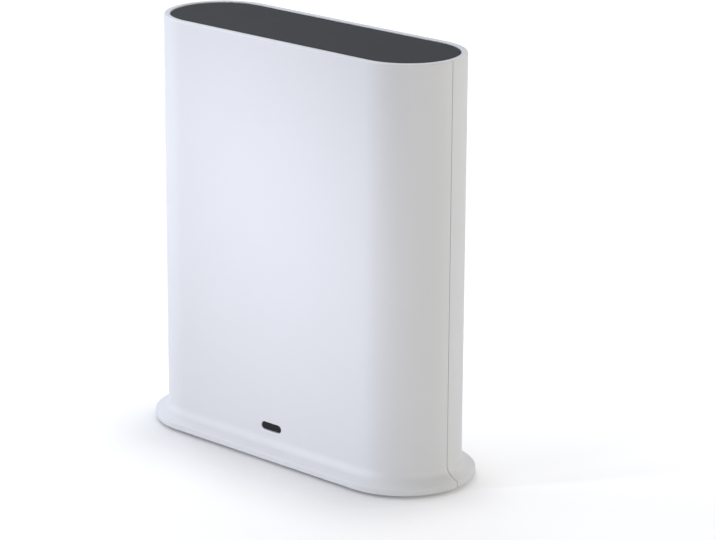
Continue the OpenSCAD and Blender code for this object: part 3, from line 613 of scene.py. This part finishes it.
def grained(slot, roughness, spread, fineness, mottle, bump, stretch=(1, 1, 1), **shader_values):
    """Material with the fine grain of moulded plastic, rubber or rolled metal."""
    material, tree, shader = new_finish(slot)
    grain = tree.nodes.new("ShaderNodeGroup")
    grain.node_tree = surface_grain()
    feed(
        tree, grain, colour=(*colour_of(slot), 1), mottle=mottle, roughness=roughness, spread=spread,
        fineness=fineness, stretch=stretch,
    )
    colour, gloss, height = (grain.outputs[name] for name in ("Colour", "Roughness", "Height"))
    lift = add(tree, "ShaderNodeBump", strength=bump, distance=GRAIN_HEIGHT, height=height)
    feed(tree, shader, base_color=colour, roughness=gloss, normal=lift, **shader_values)
    return material


PLASTIC = dict(fineness=2600, mottle=0.03, bump=0.08)
SHEET = dict(fineness=900, mottle=0.08, bump=0.05, stretch=(1, 0.08, 1), metallic=1.0)
LOOKS = {
    "white_case": dict(PLASTIC, roughness=0.38, spread=0.08, mottle=0.012),
    "charcoal_plate": dict(
        PLASTIC, roughness=0.6, spread=0.12, mottle=0.1, bump=0.2, specular_ior_level=0.12
    ),
    "base_plastic": dict(PLASTIC, roughness=0.6, spread=0.12, mottle=0.08, bump=0.25),
    "rubber_pad": dict(PLASTIC, roughness=0.8, spread=0.15, fineness=1800, mottle=0.2, bump=0.4),
    "smoked_lens": dict(PLASTIC, roughness=0.2, spread=0.05, bump=0.01, specular_ior_level=0.2),
    "clear_pipe": dict(PLASTIC, roughness=0.12, spread=0.06, bump=0.02, transmission_weight=0.85),
    "black_plastic": dict(PLASTIC, roughness=0.45, spread=0.12, mottle=0.2, bump=0.15),
    "lamp": dict(PLASTIC, roughness=0.3, spread=0.1),
    "chip_black": dict(PLASTIC, roughness=0.55, spread=0.15, mottle=0.2, bump=0.2),
    "tin_plate": dict(SHEET, roughness=0.32, spread=0.16),
    "screw_steel": dict(SHEET, roughness=0.34, spread=0.2, stretch=(1, 1, 0.1)),
    "spreader_aluminium": dict(SHEET, roughness=0.42, spread=0.18, stretch=(1, 1, 0.05)),
    "capacitor_can": dict(SHEET, roughness=0.3, spread=0.14),
    "ferrite": dict(PLASTIC, roughness=0.75, spread=0.15, mottle=0.25, bump=0.5),
    "gold_contact": dict(SHEET, roughness=0.24, spread=0.1),
    "soft_pad": dict(PLASTIC, roughness=0.7, spread=0.1, mottle=0.1),
    "foam_tape": dict(PLASTIC, roughness=0.85, spread=0.1, mottle=0.12, bump=0.6, fineness=1500),
    "lead_jacket": dict(PLASTIC, roughness=0.4, spread=0.1, mottle=0.15),
    "socket_white": dict(PLASTIC, roughness=0.4, spread=0.1),
    "button_plastic": dict(PLASTIC, roughness=0.4, spread=0.1, mottle=0.03),
    "plunger_plastic": dict(PLASTIC, roughness=0.45, spread=0.1, mottle=0.1),
}


def solder_mask(slot):
    """Green circuit board with paler tracks under its mask."""
    material, tree, shader = new_finish(slot)
    cells = tree.nodes.new("ShaderNodeTexVoronoi")
    cells.distance = "MANHATTAN"
    cells.feature = "F2"
    feed(tree, cells, vector=object_place(tree), scale=TRACK_CELLS)
    wave = sum_node(tree, "SINE", sum_node(tree, "MULTIPLY", cells.outputs["Distance"], TRACK_BENDS))
    track = sum_node(tree, "GREATER_THAN", wave, TRACK_START)
    green = Vector(colour_of(slot))
    blend = tree.nodes.new("ShaderNodeMix")
    blend.data_type = "RGBA"
    mask, paler, mixed = blend.inputs[6], blend.inputs[7], blend.outputs[2]
    feed(tree, blend, factor=track)
    put(tree, mask, (*green, 1))
    put(tree, paler, (*(green * TRACK_PALENESS), 1))
    lift = add(tree, "ShaderNodeBump", strength=TRACK_BUMP, distance=TRACK_HEIGHT, height=track)
    gloss = swing(tree, track, MASK_ROUGHNESS, MASK_SPREAD)
    feed(tree, shader, base_color=mixed, roughness=gloss, normal=lift)
    return material


def finish(slot):
    """Material for a slot of the record, made once."""
    made = bpy.data.materials.get("finish_" + slot)
    if not made:
        made = solder_mask(slot) if slot == "circuit_board" else grained(slot, **LOOKS[slot])
        made.name = "finish_" + slot
    return made


def hand_over(piece, name, slot, *nodes, body="casing"):
    """Smooths and names a finished piece, gives it its finish and ties it to the frame."""
    smooth(piece)
    piece.name = name
    piece.data.name = name
    piece.data.materials.clear()
    piece.data.materials.append(finish(slot))
    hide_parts(*nodes)
    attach(piece, body)


# Case

def sole_height(case):
    """Height of the sole plate's upper face."""
    return case.foot_gap + bpy.context.scene.sole_sizes.thickness


def case_section(case, lid):
    """Section of the case wall: distance from the plan's centre line, and height."""
    lean = math.pi / 2 - case.flare_slope
    across = Vector((math.cos(lean), math.sin(lean)))
    lip_drop = case.lip_round * (1 - across.x) / across.y
    lip = Vector((case.foot_radius - case.lip_round, case.foot_gap + case.lip_height - lip_drop))
    hollow_x = case.body_radius + case.flare_radius
    hollow_z = (case.flare_radius + lip.dot(across) + case.lip_round - hollow_x * across.x) / across.y
    pocket = case.body_radius + case.fit
    sole_top = sole_height(case)
    rim = HIGH["top_plate"].y + case.fit
    ledge = case.inner_radius - case.ledge_width
    seat = HIGH["top_plate"].z - lid.thickness
    return [
        (pocket, case.foot_gap),
        *arc((lip.x, case.foot_gap + case.lip_round), case.lip_round, -90, 0),
        *arc(lip, case.lip_round, 0, math.degrees(lean)),
        *arc((hollow_x, hollow_z), case.flare_radius, 180 + math.degrees(lean), 180, 2 * CORNER_STEPS),
        *arc((case.body_radius - case.rim_round, case.height - case.rim_round), case.rim_round, 0, 90),
        *arc((rim + case.rim_edge, case.height - case.rim_edge), case.rim_edge, 90, 180),
        (rim, seat), (ledge, seat), (ledge, seat - case.ledge_thickness),
        (case.inner_radius, seat - case.ledge_thickness), (case.inner_radius, sole_top), (pocket, sole_top),
    ]


def half_case(case, lid, side):
    """Half of the case: the wall section swept round the front or the rear of the plan."""
    piece = trace([(case.end_reach + distance, 0, height) for distance, height in case_section(case, lid)])
    fill()
    go_round(case, side)
    pick(piece, "VERT", level(Y, 0))
    bpy.ops.transform.translate(value=Y * side * case.seam / 2)
    seal()
    return piece


def screw_place(sole):
    """Place of one of the sole's screws, in the quarter where X and Y are positive."""
    return HIGH["base_screws"] - Vector((sole.head_radius, sole.head_radius, 0))


def add_bosses(piece, case, inside, sole, side):
    """Joins on the two bosses for the sole's screws, each tied to the wall by a web."""
    place = screw_place(sole)
    foot = sole_height(case)
    top = foot + inside.boss_height
    web_foot = HIGH["base_plate"].z + case.fit
    for end in (-1, 1):
        middle = Vector((end * place.x, side * place.y, 0))
        outward = (middle - X * end * case.end_reach).normalized()
        wall = X * end * case.end_reach + outward * (case.inner_radius + inside.root)
        edge = outward.cross(Z) * inside.boss_radius / 2
        start = middle + outward * (inside.boss_radius + inside.boss_hole) / 2
        corners = [start + edge, wall + edge, wall - edge, start - edge]
        web = prism([corner + Z * web_foot for corner in corners], Z * (top - web_foot))
        combine(piece, web, "UNION")
        combine(piece, tube(inside.boss_hole, inside.boss_radius, foot, top, middle, Z), "UNION")


def add_posts(piece, case, inside, sole):
    """Joins on the four posts that carry the board."""
    lo, hi = BOX["board_screws"]
    root = case.inner_radius + inside.root
    for end in (-1, 1):
        for height in (lo.z + sole.head_radius, hi.z - sole.head_radius):
            middle = (end * (hi.x - sole.head_radius), 0, height)
            post = tube(inside.boss_hole, inside.boss_radius, HIGH["main_board"].y, root, middle, Y)
            combine(piece, post, "UNION")


def add_guides(piece, case, inside, rear, button):
    """Joins on the collar round the sync button and the tube behind the reset pinhole."""
    root = case.inner_radius + inside.root
    lo, hi = BOX["sync_button"]
    inner = (hi.x - lo.x) / 2 + button.hole_gap
    start = case.inner_radius - inside.collar_length
    collar = tube(inner, inner + inside.collar_wall, start, root, axle("sync_button"), Y)
    combine(piece, collar, "UNION")
    middle = axle("reset_switch_plunger")
    start = HIGH["reset_switch_plunger"].y + inside.tube_room
    mouth = case.body_radius - rear.panel_depth
    outer = rear.pinhole + inside.tube_wall
    guide = [(0, start), (outer, start), (outer, root), (0, root)]
    bore = [
        (0, start - outer), (rear.pinhole, start - outer), (rear.pinhole, mouth - case.edge),
        (outer, mouth - case.edge + inside.tube_wall), (0, mouth + inside.tube_wall),
    ]
    combine(piece, turned(guide, middle, Y), "UNION")
    combine(piece, turned(bore, middle, Y), "DIFFERENCE")


def add_tongues(piece, case, lid, inside):
    """Joins on the tongues that keep the two halves in line behind the seam."""
    outer = case.inner_radius - case.fit
    foot = sole_height(case) + inside.boss_height + case.fit
    top = HIGH["top_plate"].z - lid.thickness - case.ledge_thickness - lid.leg_thickness
    half = inside.tongue_angle
    for end in (1, -1):
        start = 0 if end > 0 else math.pi
        for radii, heights, low, high in (
            ((outer - inside.tongue, outer), (foot, top), -half, half),
            (
                (outer - inside.tongue / 2, case.inner_radius + inside.root),
                (foot + inside.root, top - inside.root), half * ROOT_START, half * ROOT_STOP,
            ),
        ):
            blade = ring_piece(end * case.end_reach, radii, heights, start + end * low, end * (high - low))
            combine(piece, blade, "UNION")


class STATION_OT_front_case(Operator):
    """Models the front half of the case, with its slot for the status lens"""

    bl_idname = "station.front_case"
    bl_label = "Front case"

    def execute(self, context):
        scene = context.scene
        case, lens = scene.case_sizes, scene.lens_sizes
        piece = half_case(case, scene.lid_sizes, FRONT)
        lo, hi = around(*BOX["led_window"], scene.rear_sizes.socket_fit / 2 - lens.flange)
        lo.y = -case.foot_radius
        combine(piece, rounded_box(lo, hi, (hi.z - lo.z) / 2), "DIFFERENCE")
        round_edges(piece, case.edge)
        add_bosses(piece, case, scene.inside_sizes, scene.sole_sizes, FRONT)
        hand_over(piece, "front_case", "white_case", "front_shell")
        return {"FINISHED"}


class STATION_OT_rear_case(Operator):
    """Models the rear half of the case, with its panel, sockets' holes, vents, button hole and pinhole"""

    bl_idname = "station.rear_case"
    bl_label = "Rear case"

    def execute(self, context):
        scene = context.scene
        case, rear, inside = scene.case_sizes, scene.rear_sizes, scene.inside_sizes
        button = scene.button_sizes
        piece = half_case(case, scene.lid_sizes, REAR)
        for cutter in self.cutters(case, rear, button):
            combine(piece, cutter, "DIFFERENCE")
        round_edges(piece, case.edge)
        add_bosses(piece, case, inside, scene.sole_sizes, REAR)
        add_posts(piece, case, inside, scene.sole_sizes)
        add_guides(piece, case, inside, rear, button)
        add_tongues(piece, case, scene.lid_sizes, inside)
        hand_over(piece, "rear_case", "white_case", "rear_shell")
        return {"FINISHED"}

    def cutters(self, case, rear, button):
        """Yields the tools for the openings, from the panel to the button's hole."""
        outside = case.foot_radius
        within = 2 * case.inner_radius - case.body_radius
        middle = Z * MIDDLE["ethernet_shield"].z
        half = Vector((rear.panel_width / 2, 0, rear.panel_height / 2))
        floor = middle + Y * (case.body_radius - rear.panel_depth)
        yield rounded_box(floor - half, middle + Y * outside + half, rear.panel_corner)
        for node in ("ethernet_shield", "usb_shell", "power_jack_body"):
            lo, hi = around(*BOX[node], rear.socket_fit)
            lo.y, hi.y = within, outside
            yield rounded_box(lo, hi, rear.socket_fit)
        middle = Z * (case.height - rear.vent_drop)
        yield vent_row(rear, middle + Y * within, middle + Y * outside, Y, Z)
        radius = button.radius + button.hole_gap
        profile = [(0, within), (radius, within), (radius, outside), (0, outside)]
        yield turned(profile, axle("sync_button"), Y)


class STATION_OT_lid(Operator):
    """Models the charcoal lid that is let into the rim, with its snap legs"""

    bl_idname = "station.lid"
    bl_label = "Lid"

    def execute(self, context):
        scene = context.scene
        case, lid = scene.case_sizes, scene.lid_sizes
        seat = HIGH["top_plate"].z - lid.thickness
        piece = plan_face(case, HIGH["top_plate"].y, seat)
        extrude(Z * lid.thickness)
        seal()
        round_edges(piece, lid.edge, SOFT_EDGE_STEPS)
        for end, side in QUARTERS:
            combine(piece, self.leg(case, lid, end, side), "UNION")
        hand_over(piece, "lid_plate", "charcoal_plate", "top_plate")
        return {"FINISHED"}

    def leg(self, case, lid, end, side):
        """Makes one snap leg with its hook under the ledge."""
        back = case.inner_radius - case.ledge_width - case.fit
        foot = LOW["top_plate"].z
        hook = foot + lid.leg_thickness
        top = HIGH["top_plate"].z - lid.thickness / 2
        start = end * lid.leg_place - lid.leg_width / 2
        outline = [
            (back, top), (back, hook), (back + lid.leg_thickness / 2, hook), (back, foot),
            (back - lid.leg_thickness, foot), (back - lid.leg_thickness, top),
        ]
        return prism([(start, side * y, z) for y, z in outline], X * lid.leg_width)


class STATION_OT_sole(Operator):
    """Models the sole plate with its vents, the rubber ring under it and the four screws"""

    bl_idname = "station.sole"
    bl_label = "Sole"

    def execute(self, context):
        scene = context.scene
        case, sole = scene.case_sizes, scene.sole_sizes
        self.plate(case, sole)
        self.ring(case, sole)
        self.screws(sole)
        return {"FINISHED"}

    def plate(self, case, sole):
        """Plate with a rib above, a groove below, vents and sunk screw holes."""
        foot, top = LOW["base_plate"].z, sole_height(case)
        piece = plan_face(case, HIGH["base_plate"].y, foot)
        extrude(Z * sole.thickness)
        bpy.ops.mesh.select_all(action="SELECT")
        bpy.ops.mesh.normals_make_consistent(inside=False)
        edge = HIGH["base_plate"].y
        groove_out = edge - HIGH["foot_pad"].y - case.fit
        for height, inset, width, rise in (
            (top, sole.rib_inset, sole.rib_width, HIGH["base_plate"].z - top),
            (foot, groove_out, sole.ring_width + 2 * case.fit, sole.groove_depth),
        ):
            pick(piece, "FACE", level(Z, height))
            bpy.ops.mesh.inset(thickness=inset)
            bpy.ops.mesh.inset(thickness=width)
            self.pick_band(piece, case, height, edge - inset - width, edge - inset)
            extrude(Z * rise)
        seal()
        combine(piece, vent_row(sole, -Z * top, 2 * Z * top, Z, Y), "DIFFERENCE")
        place = screw_place(sole)
        seat = LOW["base_screws"].z + sole.head_height
        sunk, hole = sole.head_radius + sole.head_room, sole.shank_radius + sole.head_room
        profile = [(0, -top), (sunk, -top), (sunk, seat), (hole, seat), (hole, 2 * top), (0, 2 * top)]
        for end, side in QUARTERS:
            well = turned(profile, (end * place.x, side * place.y, 0), Z)
            combine(piece, well, "DIFFERENCE")
        round_edges(piece, sole.edge)
        hand_over(piece, "sole_plate", "base_plastic", "base_plate")

    def pick_band(self, piece, case, height, inner, outer):
        """Selects the level faces between two distances from the plan's centre line."""
        def distance(corner):
            return math.hypot(max(abs(corner.x) - case.end_reach, 0), corner.y)

        def inside_band(corners):
            reach = [distance(corner) for corner in corners]
            nearest, furthest = min(reach), max(reach)
            within = inner - SPECK < nearest and furthest < outer + SPECK
            return level(Z, height)(corners) and within and furthest - nearest > SPECK

        pick(piece, "FACE", inside_band)

    def ring(self, case, sole):
        """Rubber ring with rounded lower edges."""
        lo, hi = BOX["foot_pad"]
        outer = hi.y
        inner = outer - sole.ring_width
        bend = sole.ring_round
        section = [
            *arc((inner + bend, lo.z + bend), bend, 180, 270),
            *arc((outer - bend, lo.z + bend), bend, 270, 360),
            (outer, hi.z), (inner, hi.z),
        ]
        piece = plan_loop(case, section)
        hand_over(piece, "sole_ring", "rubber_pad", "foot_pad")

    def screws(self, sole):
        """Four screws with low round heads and cross slots."""
        place = screw_place(sole)
        foot, tip = LOW["base_screws"].z, HIGH["base_screws"].z
        seat = foot + sole.head_height
        bend, shank = sole.head_round, sole.shank_radius
        profile = [
            (0, foot), *arc((sole.head_radius - bend, foot + bend), bend, -90, 0),
            (sole.head_radius, seat), (shank, seat), (shank, tip - shank),
            (shank / TIP_TAPER, tip), (0, tip),
        ]
        lowest, highest = Z * (foot - sole.slot_depth), Z * (foot + sole.slot_depth)
        copies = []
        for end, side in QUARTERS:
            middle = Vector((end * place.x, side * place.y, 0))
            screw = turned(profile, middle, Z)
            for long, wide in ((X, Y), (Y, X)):
                reach = long * sole.slot_reach + wide * (sole.slot_width / 2)
                slot = rounded_box(middle - reach + lowest, middle + reach + highest)
                combine(screw, slot, "DIFFERENCE")
            copies.append(screw)
        activate(copies[0])
        for screw in copies:
            screw.select_set(True)
        bpy.ops.object.join()
        piece = bpy.context.object
        hand_over(piece, "sole_screws", "screw_steel", "base_screws")


class STATION_OT_status_lens(Operator):
    """Models the smoked lens of the status light"""

    bl_idname = "station.status_lens"
    bl_label = "Status lens"

    def execute(self, context):
        lens = context.scene.lens_sizes
        lo, hi = (corner.copy() for corner in BOX["led_window"])
        face_lo, face_hi = around(lo, hi, -lens.flange)
        piece = rounded_box(face_lo, face_hi, (face_hi.z - face_lo.z) / 2)
        bpy.ops.object.mode_set(mode="EDIT")
        pick(piece, "EDGE", level(Y, lo.y))
        bpy.ops.mesh.bevel(offset=lens.edge, segments=SOFT_EDGE_STEPS, affect="EDGES")
        seal()
        lo.y = hi.y - lens.flange_thickness
        combine(piece, rounded_box(lo, hi, (hi.z - lo.z) / 2), "UNION")
        hand_over(piece, "status_lens", "smoked_lens", "led_window")
        return {"FINISHED"}


class STATION_OT_network_socket(Operator):
    """Models the network socket: its metal shield and the black housing in it"""

    bl_idname = "station.network_socket"
    bl_label = "Network socket"

    def execute(self, context):
        scene = context.scene
        size = scene.socket_sizes
        lo, hi = BOX["ethernet_shield"]
        shield = folded_sheet(lo, hi, size, lo.y)
        for cutter in self.plug_space(size, scene.rear_sizes.socket_fit / 2, hi.y + size.sheet):
            combine(shield, cutter, "DIFFERENCE")
        round_edges(shield, size.edge / 2)
        hand_over(shield, "network_shield", "tin_plate", "ethernet_shield")
        lo, hi = BOX["ethernet_housing"]
        housing = rounded_box(lo, hi, size.fold - size.sheet)
        for cutter in self.plug_space(size, 0, hi.y + size.sheet):
            combine(housing, cutter, "DIFFERENCE")
        round_edges(housing, size.edge)
        hand_over(housing, "network_housing", "black_plastic", "ethernet_housing")
        return {"FINISHED"}

    def plug_space(self, size, gap, mouth):
        """Yields the tools for the plug's space and its latch notch."""
        lo, hi = BOX["ethernet_shield"]
        middle = MIDDLE["ethernet_shield"].x
        back = hi.y - size.plug_depth
        floor = lo.z + size.plug_floor
        notch = floor + size.plug_height
        for width, start, stop in (
            (size.plug_width, floor, notch), (size.latch_width, floor, notch + size.latch_height)
        ):
            corners = around(
                Vector((middle - width / 2, back, start)), Vector((middle + width / 2, mouth, stop)), gap
            )
            yield rounded_box(*corners)


class STATION_OT_usb_socket(Operator):
    """Models the USB socket: its folded metal sleeve and the white tongue in it"""

    bl_idname = "station.usb_socket"
    bl_label = "USB socket"

    def execute(self, context):
        size = context.scene.socket_sizes
        lo, hi = BOX["usb_shell"]
        sleeve = folded_sheet(lo, hi, size, lo.y, hi.y)
        round_edges(sleeve, size.edge / 2)
        hand_over(sleeve, "usb_sleeve", "tin_plate", "usb_shell")
        back = hi.y - size.usb_depth
        lo, hi = BOX["usb_insulator"]
        piece = rounded_box(lo, (hi.x, back, hi.z), size.fold - size.sheet)
        half = Vector((size.tongue_width / 2, 0, size.tongue_thickness / 2))
        middle = axle("usb_insulator") + Z * size.tongue_rise
        combine(piece, rounded_box(middle + Y * lo.y - half, middle + Y * hi.y + half), "UNION")
        round_edges(piece, size.edge)
        hand_over(piece, "usb_tongue", "socket_white", "usb_insulator")
        return {"FINISHED"}


class STATION_OT_power_socket(Operator):
    """Models the power socket: its black block with the bore, and the pin"""

    bl_idname = "station.power_socket"
    bl_label = "Power socket"

    def execute(self, context):
        size = context.scene.socket_sizes
        lo, hi = BOX["power_jack_body"]
        centre = axle("power_jack_body")
        block = rounded_box(lo, hi, size.fold)
        mouth, floor = hi.y, hi.y - size.bore_depth
        lead = size.bore_radius + size.bore_lead
        profile = [
            (0, floor), (size.bore_radius, floor), (size.bore_radius, mouth - size.bore_lead), (lead, mouth),
            (lead, mouth + size.bore_lead), (0, mouth + size.bore_lead),
        ]
        combine(block, turned(profile, centre, Y), "DIFFERENCE")
        round_edges(block, size.edge)
        hand_over(block, "power_block", "black_plastic", "power_jack_body")
        lo, hi = BOX["power_jack_pin"]
        radius = (hi.x - lo.x) / 2
        profile = [(0, lo.y), (radius, lo.y), *arc((0, hi.y - radius), radius, 0, 90)]
        pin = turned(profile, centre, Y)
        hand_over(pin, "power_pin", "tin_plate", "power_jack_pin")
        return {"FINISHED"}


class STATION_OT_sync_button(Operator):
    """Models the sync button with its finger hollow, flange and stem"""

    bl_idname = "station.sync_button"
    bl_label = "Sync button"

    def execute(self, context):
        scene = context.scene
        button = scene.button_sizes
        lo, hi = BOX["sync_button"]
        flange = (hi.x - lo.x) / 2
        seat = scene.case_sizes.inner_radius - button.hole_gap
        back = seat - button.flange_thickness
        rim = button.radius - button.edge
        bowl = (rim * rim + button.dish * button.dish) / (2 * button.dish)
        reach = math.degrees(math.asin(rim / bowl))
        hollow = arc((0, hi.y - button.dish + bowl), bowl, reach - 90, -90)
        stem = button.stem_radius
        profile = [
            (0, lo.y), (stem, lo.y), (stem, back), (flange, back), (flange, seat), (button.radius, seat),
            *arc((rim, hi.y - button.edge), button.edge, 0, 90), *hollow[1:],
        ]
        piece = turned(profile, axle("sync_button"), Y)
        hand_over(piece, "sync_push", "button_plastic", "sync_button", body="sync_cap")
        return {"FINISHED"}


class STATION_OT_inner_parts(Operator):
    """Gives the parts inside the case their finishes"""

    bl_idname = "station.inner_parts"
    bl_label = "Inner parts"

    def execute(self, context):
        for name, node in frame["nodes"].items():
            if not node.hide_render:
                node.data.materials.clear()
                node.data.materials.append(finish(NODE_SLOT[name]))
        return {"FINISHED"}


# Studio

# Floor: cuts across it, scale and width of its unevenness, and its roughness
FLOOR_CUTS = 4
FLOOR_GRAIN = 3.0
FLOOR_MOTTLE = 0.01
FLOOR_ROUGHNESS = 0.7
# Nearest distance that the camera shows, and how far beside the middle of the front the spots point
NEAREST = 10 * MM
SPOT_ASIDE = -5 * MM
# Soft boxes that face the station's middle: azimuth, elevation, distance, size, power and tint
SOFT_BOXES = {
    "key_light": (-65, 20, 1.4, 0.9, 5, (0.88, 0.905, 1)),
    "low_light": (-60, 6, 1.4, 0.9, 4.2, (0.77, 0.83, 1)),
    "left_light": (-90, 60, 1.8, 1.6, 11.6, (0.92, 0.94, 1)),
    "rear_light": (-110, 25, 1.4, 0.9, 2, (0.85, 0.9, 1)),
    "far_light": (-140, 50, 1.8, 1.2, 6.6, (0.85, 0.91, 1)),
    "back_light": (180, 28, 1.6, 1, 4.5, (1, 0.88, 0.86)),
    "rim_light": (140, 18, 1.4, 0.9, 3.8, (0.88, 0.96, 1)),
    "end_light": (105, 18, 1.4, 0.9, 2.7, (1, 0.87, 0.6)),
    "corner_light": (65, 10, 1.4, 0.9, 4.7, (1, 0.98, 0.975)),
}
# Soft spots on the front: azimuth, elevation, distance, size, power, tint, width of the beam, and the
# share of the height that they face
SPOTS = {
    "wide_spot": (-15, 10, 0.8, 0.1, 9.6, (0.93, 0.935, 1), 22, 0.5),
    "high_spot": (-33, 35, 0.8, 0.05, 9.8, (0.81, 0.855, 1), 11, 0.66),
}


def direction(azimuth, elevation):
    """Direction from the station to a place in the studio."""
    level_part = math.cos(elevation)
    return Vector((math.sin(azimuth) * level_part, -math.cos(azimuth) * level_part, math.sin(elevation)))


class STATION_OT_stage(Operator):
    """Makes the pale floor, the soft studio light and the camera"""

    bl_idname = "station.stage"
    bl_label = "Stage"

    def execute(self, context):
        scene = context.scene
        studio, case = scene.studio_sizes, scene.case_sizes
        middle = Z * case.height / 2
        self.floor(studio, case)
        self.surround(scene, studio)
        for name, light in SOFT_BOXES.items():
            self.light(scene, name, "AREA", middle, *light)
        for name, (*light, beam, part) in SPOTS.items():
            face = Vector((SPOT_ASIDE, -case.body_radius, part * case.height))
            lamp = self.light(scene, name, "SPOT", face, *light)
            lamp.spot_size = math.radians(beam)
            lamp.spot_blend = 1
        self.camera(scene, studio, middle)
        scene.view_settings.view_transform = "Standard"
        return {"FINISHED"}

    def floor(self, studio, case):
        """Large pale floor, faintly uneven, which the camera sees turn white away from the foot through a
        glow; near the foot, most of all in front, the glow fades out and leaves a painted shadow.
        """
        floor = begin(bpy.ops.mesh.primitive_plane_add, size=studio.floor)
        bpy.ops.mesh.subdivide(number_cuts=FLOOR_CUTS)
        bpy.ops.object.mode_set(mode="OBJECT")
        floor.name = "floor"
        material, tree, shader = new_finish("finish_floor")
        place = object_place(tree)
        noise = add(tree, "ShaderNodeTexNoise", vector=place, scale=FLOOR_GRAIN)
        shade = swing(tree, noise, studio.shade, FLOOR_MOTTLE)
        tone = add(tree, "ShaderNodeCombineColor", red=shade, green=shade, blue=shade)
        # Distance from a shortened outline of the plan, pushed forward, which places the painted shadow
        for operation, other in (
            ("ADD", Y * studio.shade_front), ("ABSOLUTE", None),
            ("SUBTRACT", X * case.end_reach * studio.shade_share), ("MAXIMUM", X * 0), ("LENGTH", None),
        ):
            step = tree.nodes.new("ShaderNodeVectorMath")
            step.operation = operation
            put(tree, step.inputs[0], place)
            if other is not None:
                put(tree, step.inputs[1], other)
            place = step.outputs[0]
        # The glow grows from the foot outwards: where it is weak, the floor shows a painted shadow
        painted_shadow_fade = tree.nodes.new("ShaderNodeMapRange")
        painted_shadow_fade.interpolation_type = "SMOOTHSTEP"
        feed(
            tree, painted_shadow_fade, value=step.outputs["Value"], from_min=case.foot_radius - studio.glow_start,
            from_max=case.foot_radius + studio.glow_end,
        )
        path = tree.nodes.new("ShaderNodeLightPath")
        glow = sum_node(tree, "MULTIPLY", painted_shadow_fade.outputs[0], path.outputs["Is Camera Ray"])
        feed(
            tree, shader, base_color=tone, roughness=FLOOR_ROUGHNESS, emission_color=glow,
            emission_strength=studio.glow,
        )
        floor.data.materials.append(material)

    def surround(self, scene, studio):
        """Even light from all round, with a white backdrop behind the floor."""
        world = bpy.data.worlds.new("surround")
        scene.world = world
        world.use_nodes = True
        tree = world.node_tree
        path = tree.nodes.new("ShaderNodeLightPath")
        seen = sum_node(tree, "MULTIPLY_ADD", path.outputs["Is Camera Ray"], 1 - studio.world, studio.world)
        feed(tree, tree.nodes["Background"], color=(1, 1, 1, 1), strength=seen)

    def light(self, scene, name, kind, face, azimuth, elevation, away, size, power, colour):
        """Light that faces a point, and that the camera doesn't see."""
        lamp = bpy.data.lights.new(name, kind)
        setattr(lamp, "size" if kind == "AREA" else "shadow_soft_size", size)
        lamp.energy = power
        lamp.color = colour
        light = bpy.data.objects.new(name, lamp)
        toward = direction(math.radians(azimuth), math.radians(elevation))
        light.location = face + toward * away
        light.rotation_euler = toward.to_track_quat("Z", "Y").to_euler()
        light.visible_camera = False
        scene.collection.objects.link(light)
        return lamp

    def camera(self, scene, studio, middle):
        """Camera at the photograph's angle."""
        back = direction(studio.azimuth, studio.elevation)
        right = Vector((math.cos(studio.azimuth), math.sin(studio.azimuth), 0))
        up = back.cross(right)
        across = right * math.cos(studio.roll) + up * math.sin(studio.roll)
        upright = up * math.cos(studio.roll) - right * math.sin(studio.roll)
        place = middle + back * studio.distance + across * studio.shift_right + upright * studio.shift_up
        view = bpy.data.cameras.new("camera")
        view.lens = studio.lens
        view.clip_start = NEAREST
        camera = bpy.data.objects.new("camera", view)
        turn = Matrix((across, upright, back)).transposed()
        camera.matrix_world = Matrix.Translation(place) @ turn.to_4x4()
        scene.collection.objects.link(camera)
        scene.camera = camera


SIZES = {
    "case_sizes": CaseSizes, "inside_sizes": InsideSizes, "lid_sizes": LidSizes, "sole_sizes": SoleSizes,
    "rear_sizes": RearSizes, "lens_sizes": LensSizes, "socket_sizes": SocketSizes,
    "button_sizes": ButtonSizes, "finish_colours": FinishColours, "studio_sizes": StudioSizes,
}
STEPS = [
    STATION_OT_stage, STATION_OT_front_case, STATION_OT_rear_case, STATION_OT_lid, STATION_OT_sole,
    STATION_OT_status_lens, STATION_OT_network_socket, STATION_OT_usb_socket, STATION_OT_power_socket,
    STATION_OT_sync_button, STATION_OT_inner_parts,
]


class STATION_PT_parts(Panel):
    """Sizes, colours and pieces of the base station"""

    bl_idname = "STATION_PT_parts"
    bl_label = "Base station"
    bl_space_type = "VIEW_3D"
    bl_region_type = "UI"
    bl_category = "Base station"

    def draw(self, context):
        for step in STEPS:
            self.layout.operator(step.bl_idname)
        for name, group in SIZES.items():
            box = self.layout.box()
            box.label(text=name.replace("_", " ").capitalize())
            for size in group.__annotations__:
                box.prop(getattr(context.scene, name), size)


CLASSES = [*SIZES.values(), *STEPS, STATION_PT_parts]


def register():
    """Registers the classes and hangs the sizes on the scene."""
    for cls in CLASSES:
        bpy.utils.register_class(cls)
    for name, group in SIZES.items():
        setattr(bpy.types.Scene, name, PointerProperty(type=group))


def unregister():
    """Takes back what register does."""
    for name in SIZES:
        delattr(bpy.types.Scene, name)
    for cls in reversed(CLASSES):
        bpy.utils.unregister_class(cls)


def main():
    """Makes the stage and every piece in order."""
    register()
    for step in STEPS:
        category, name = step.bl_idname.split(".")
        getattr(getattr(bpy.ops, category), name)()


if __name__ == "__main__":
    main()
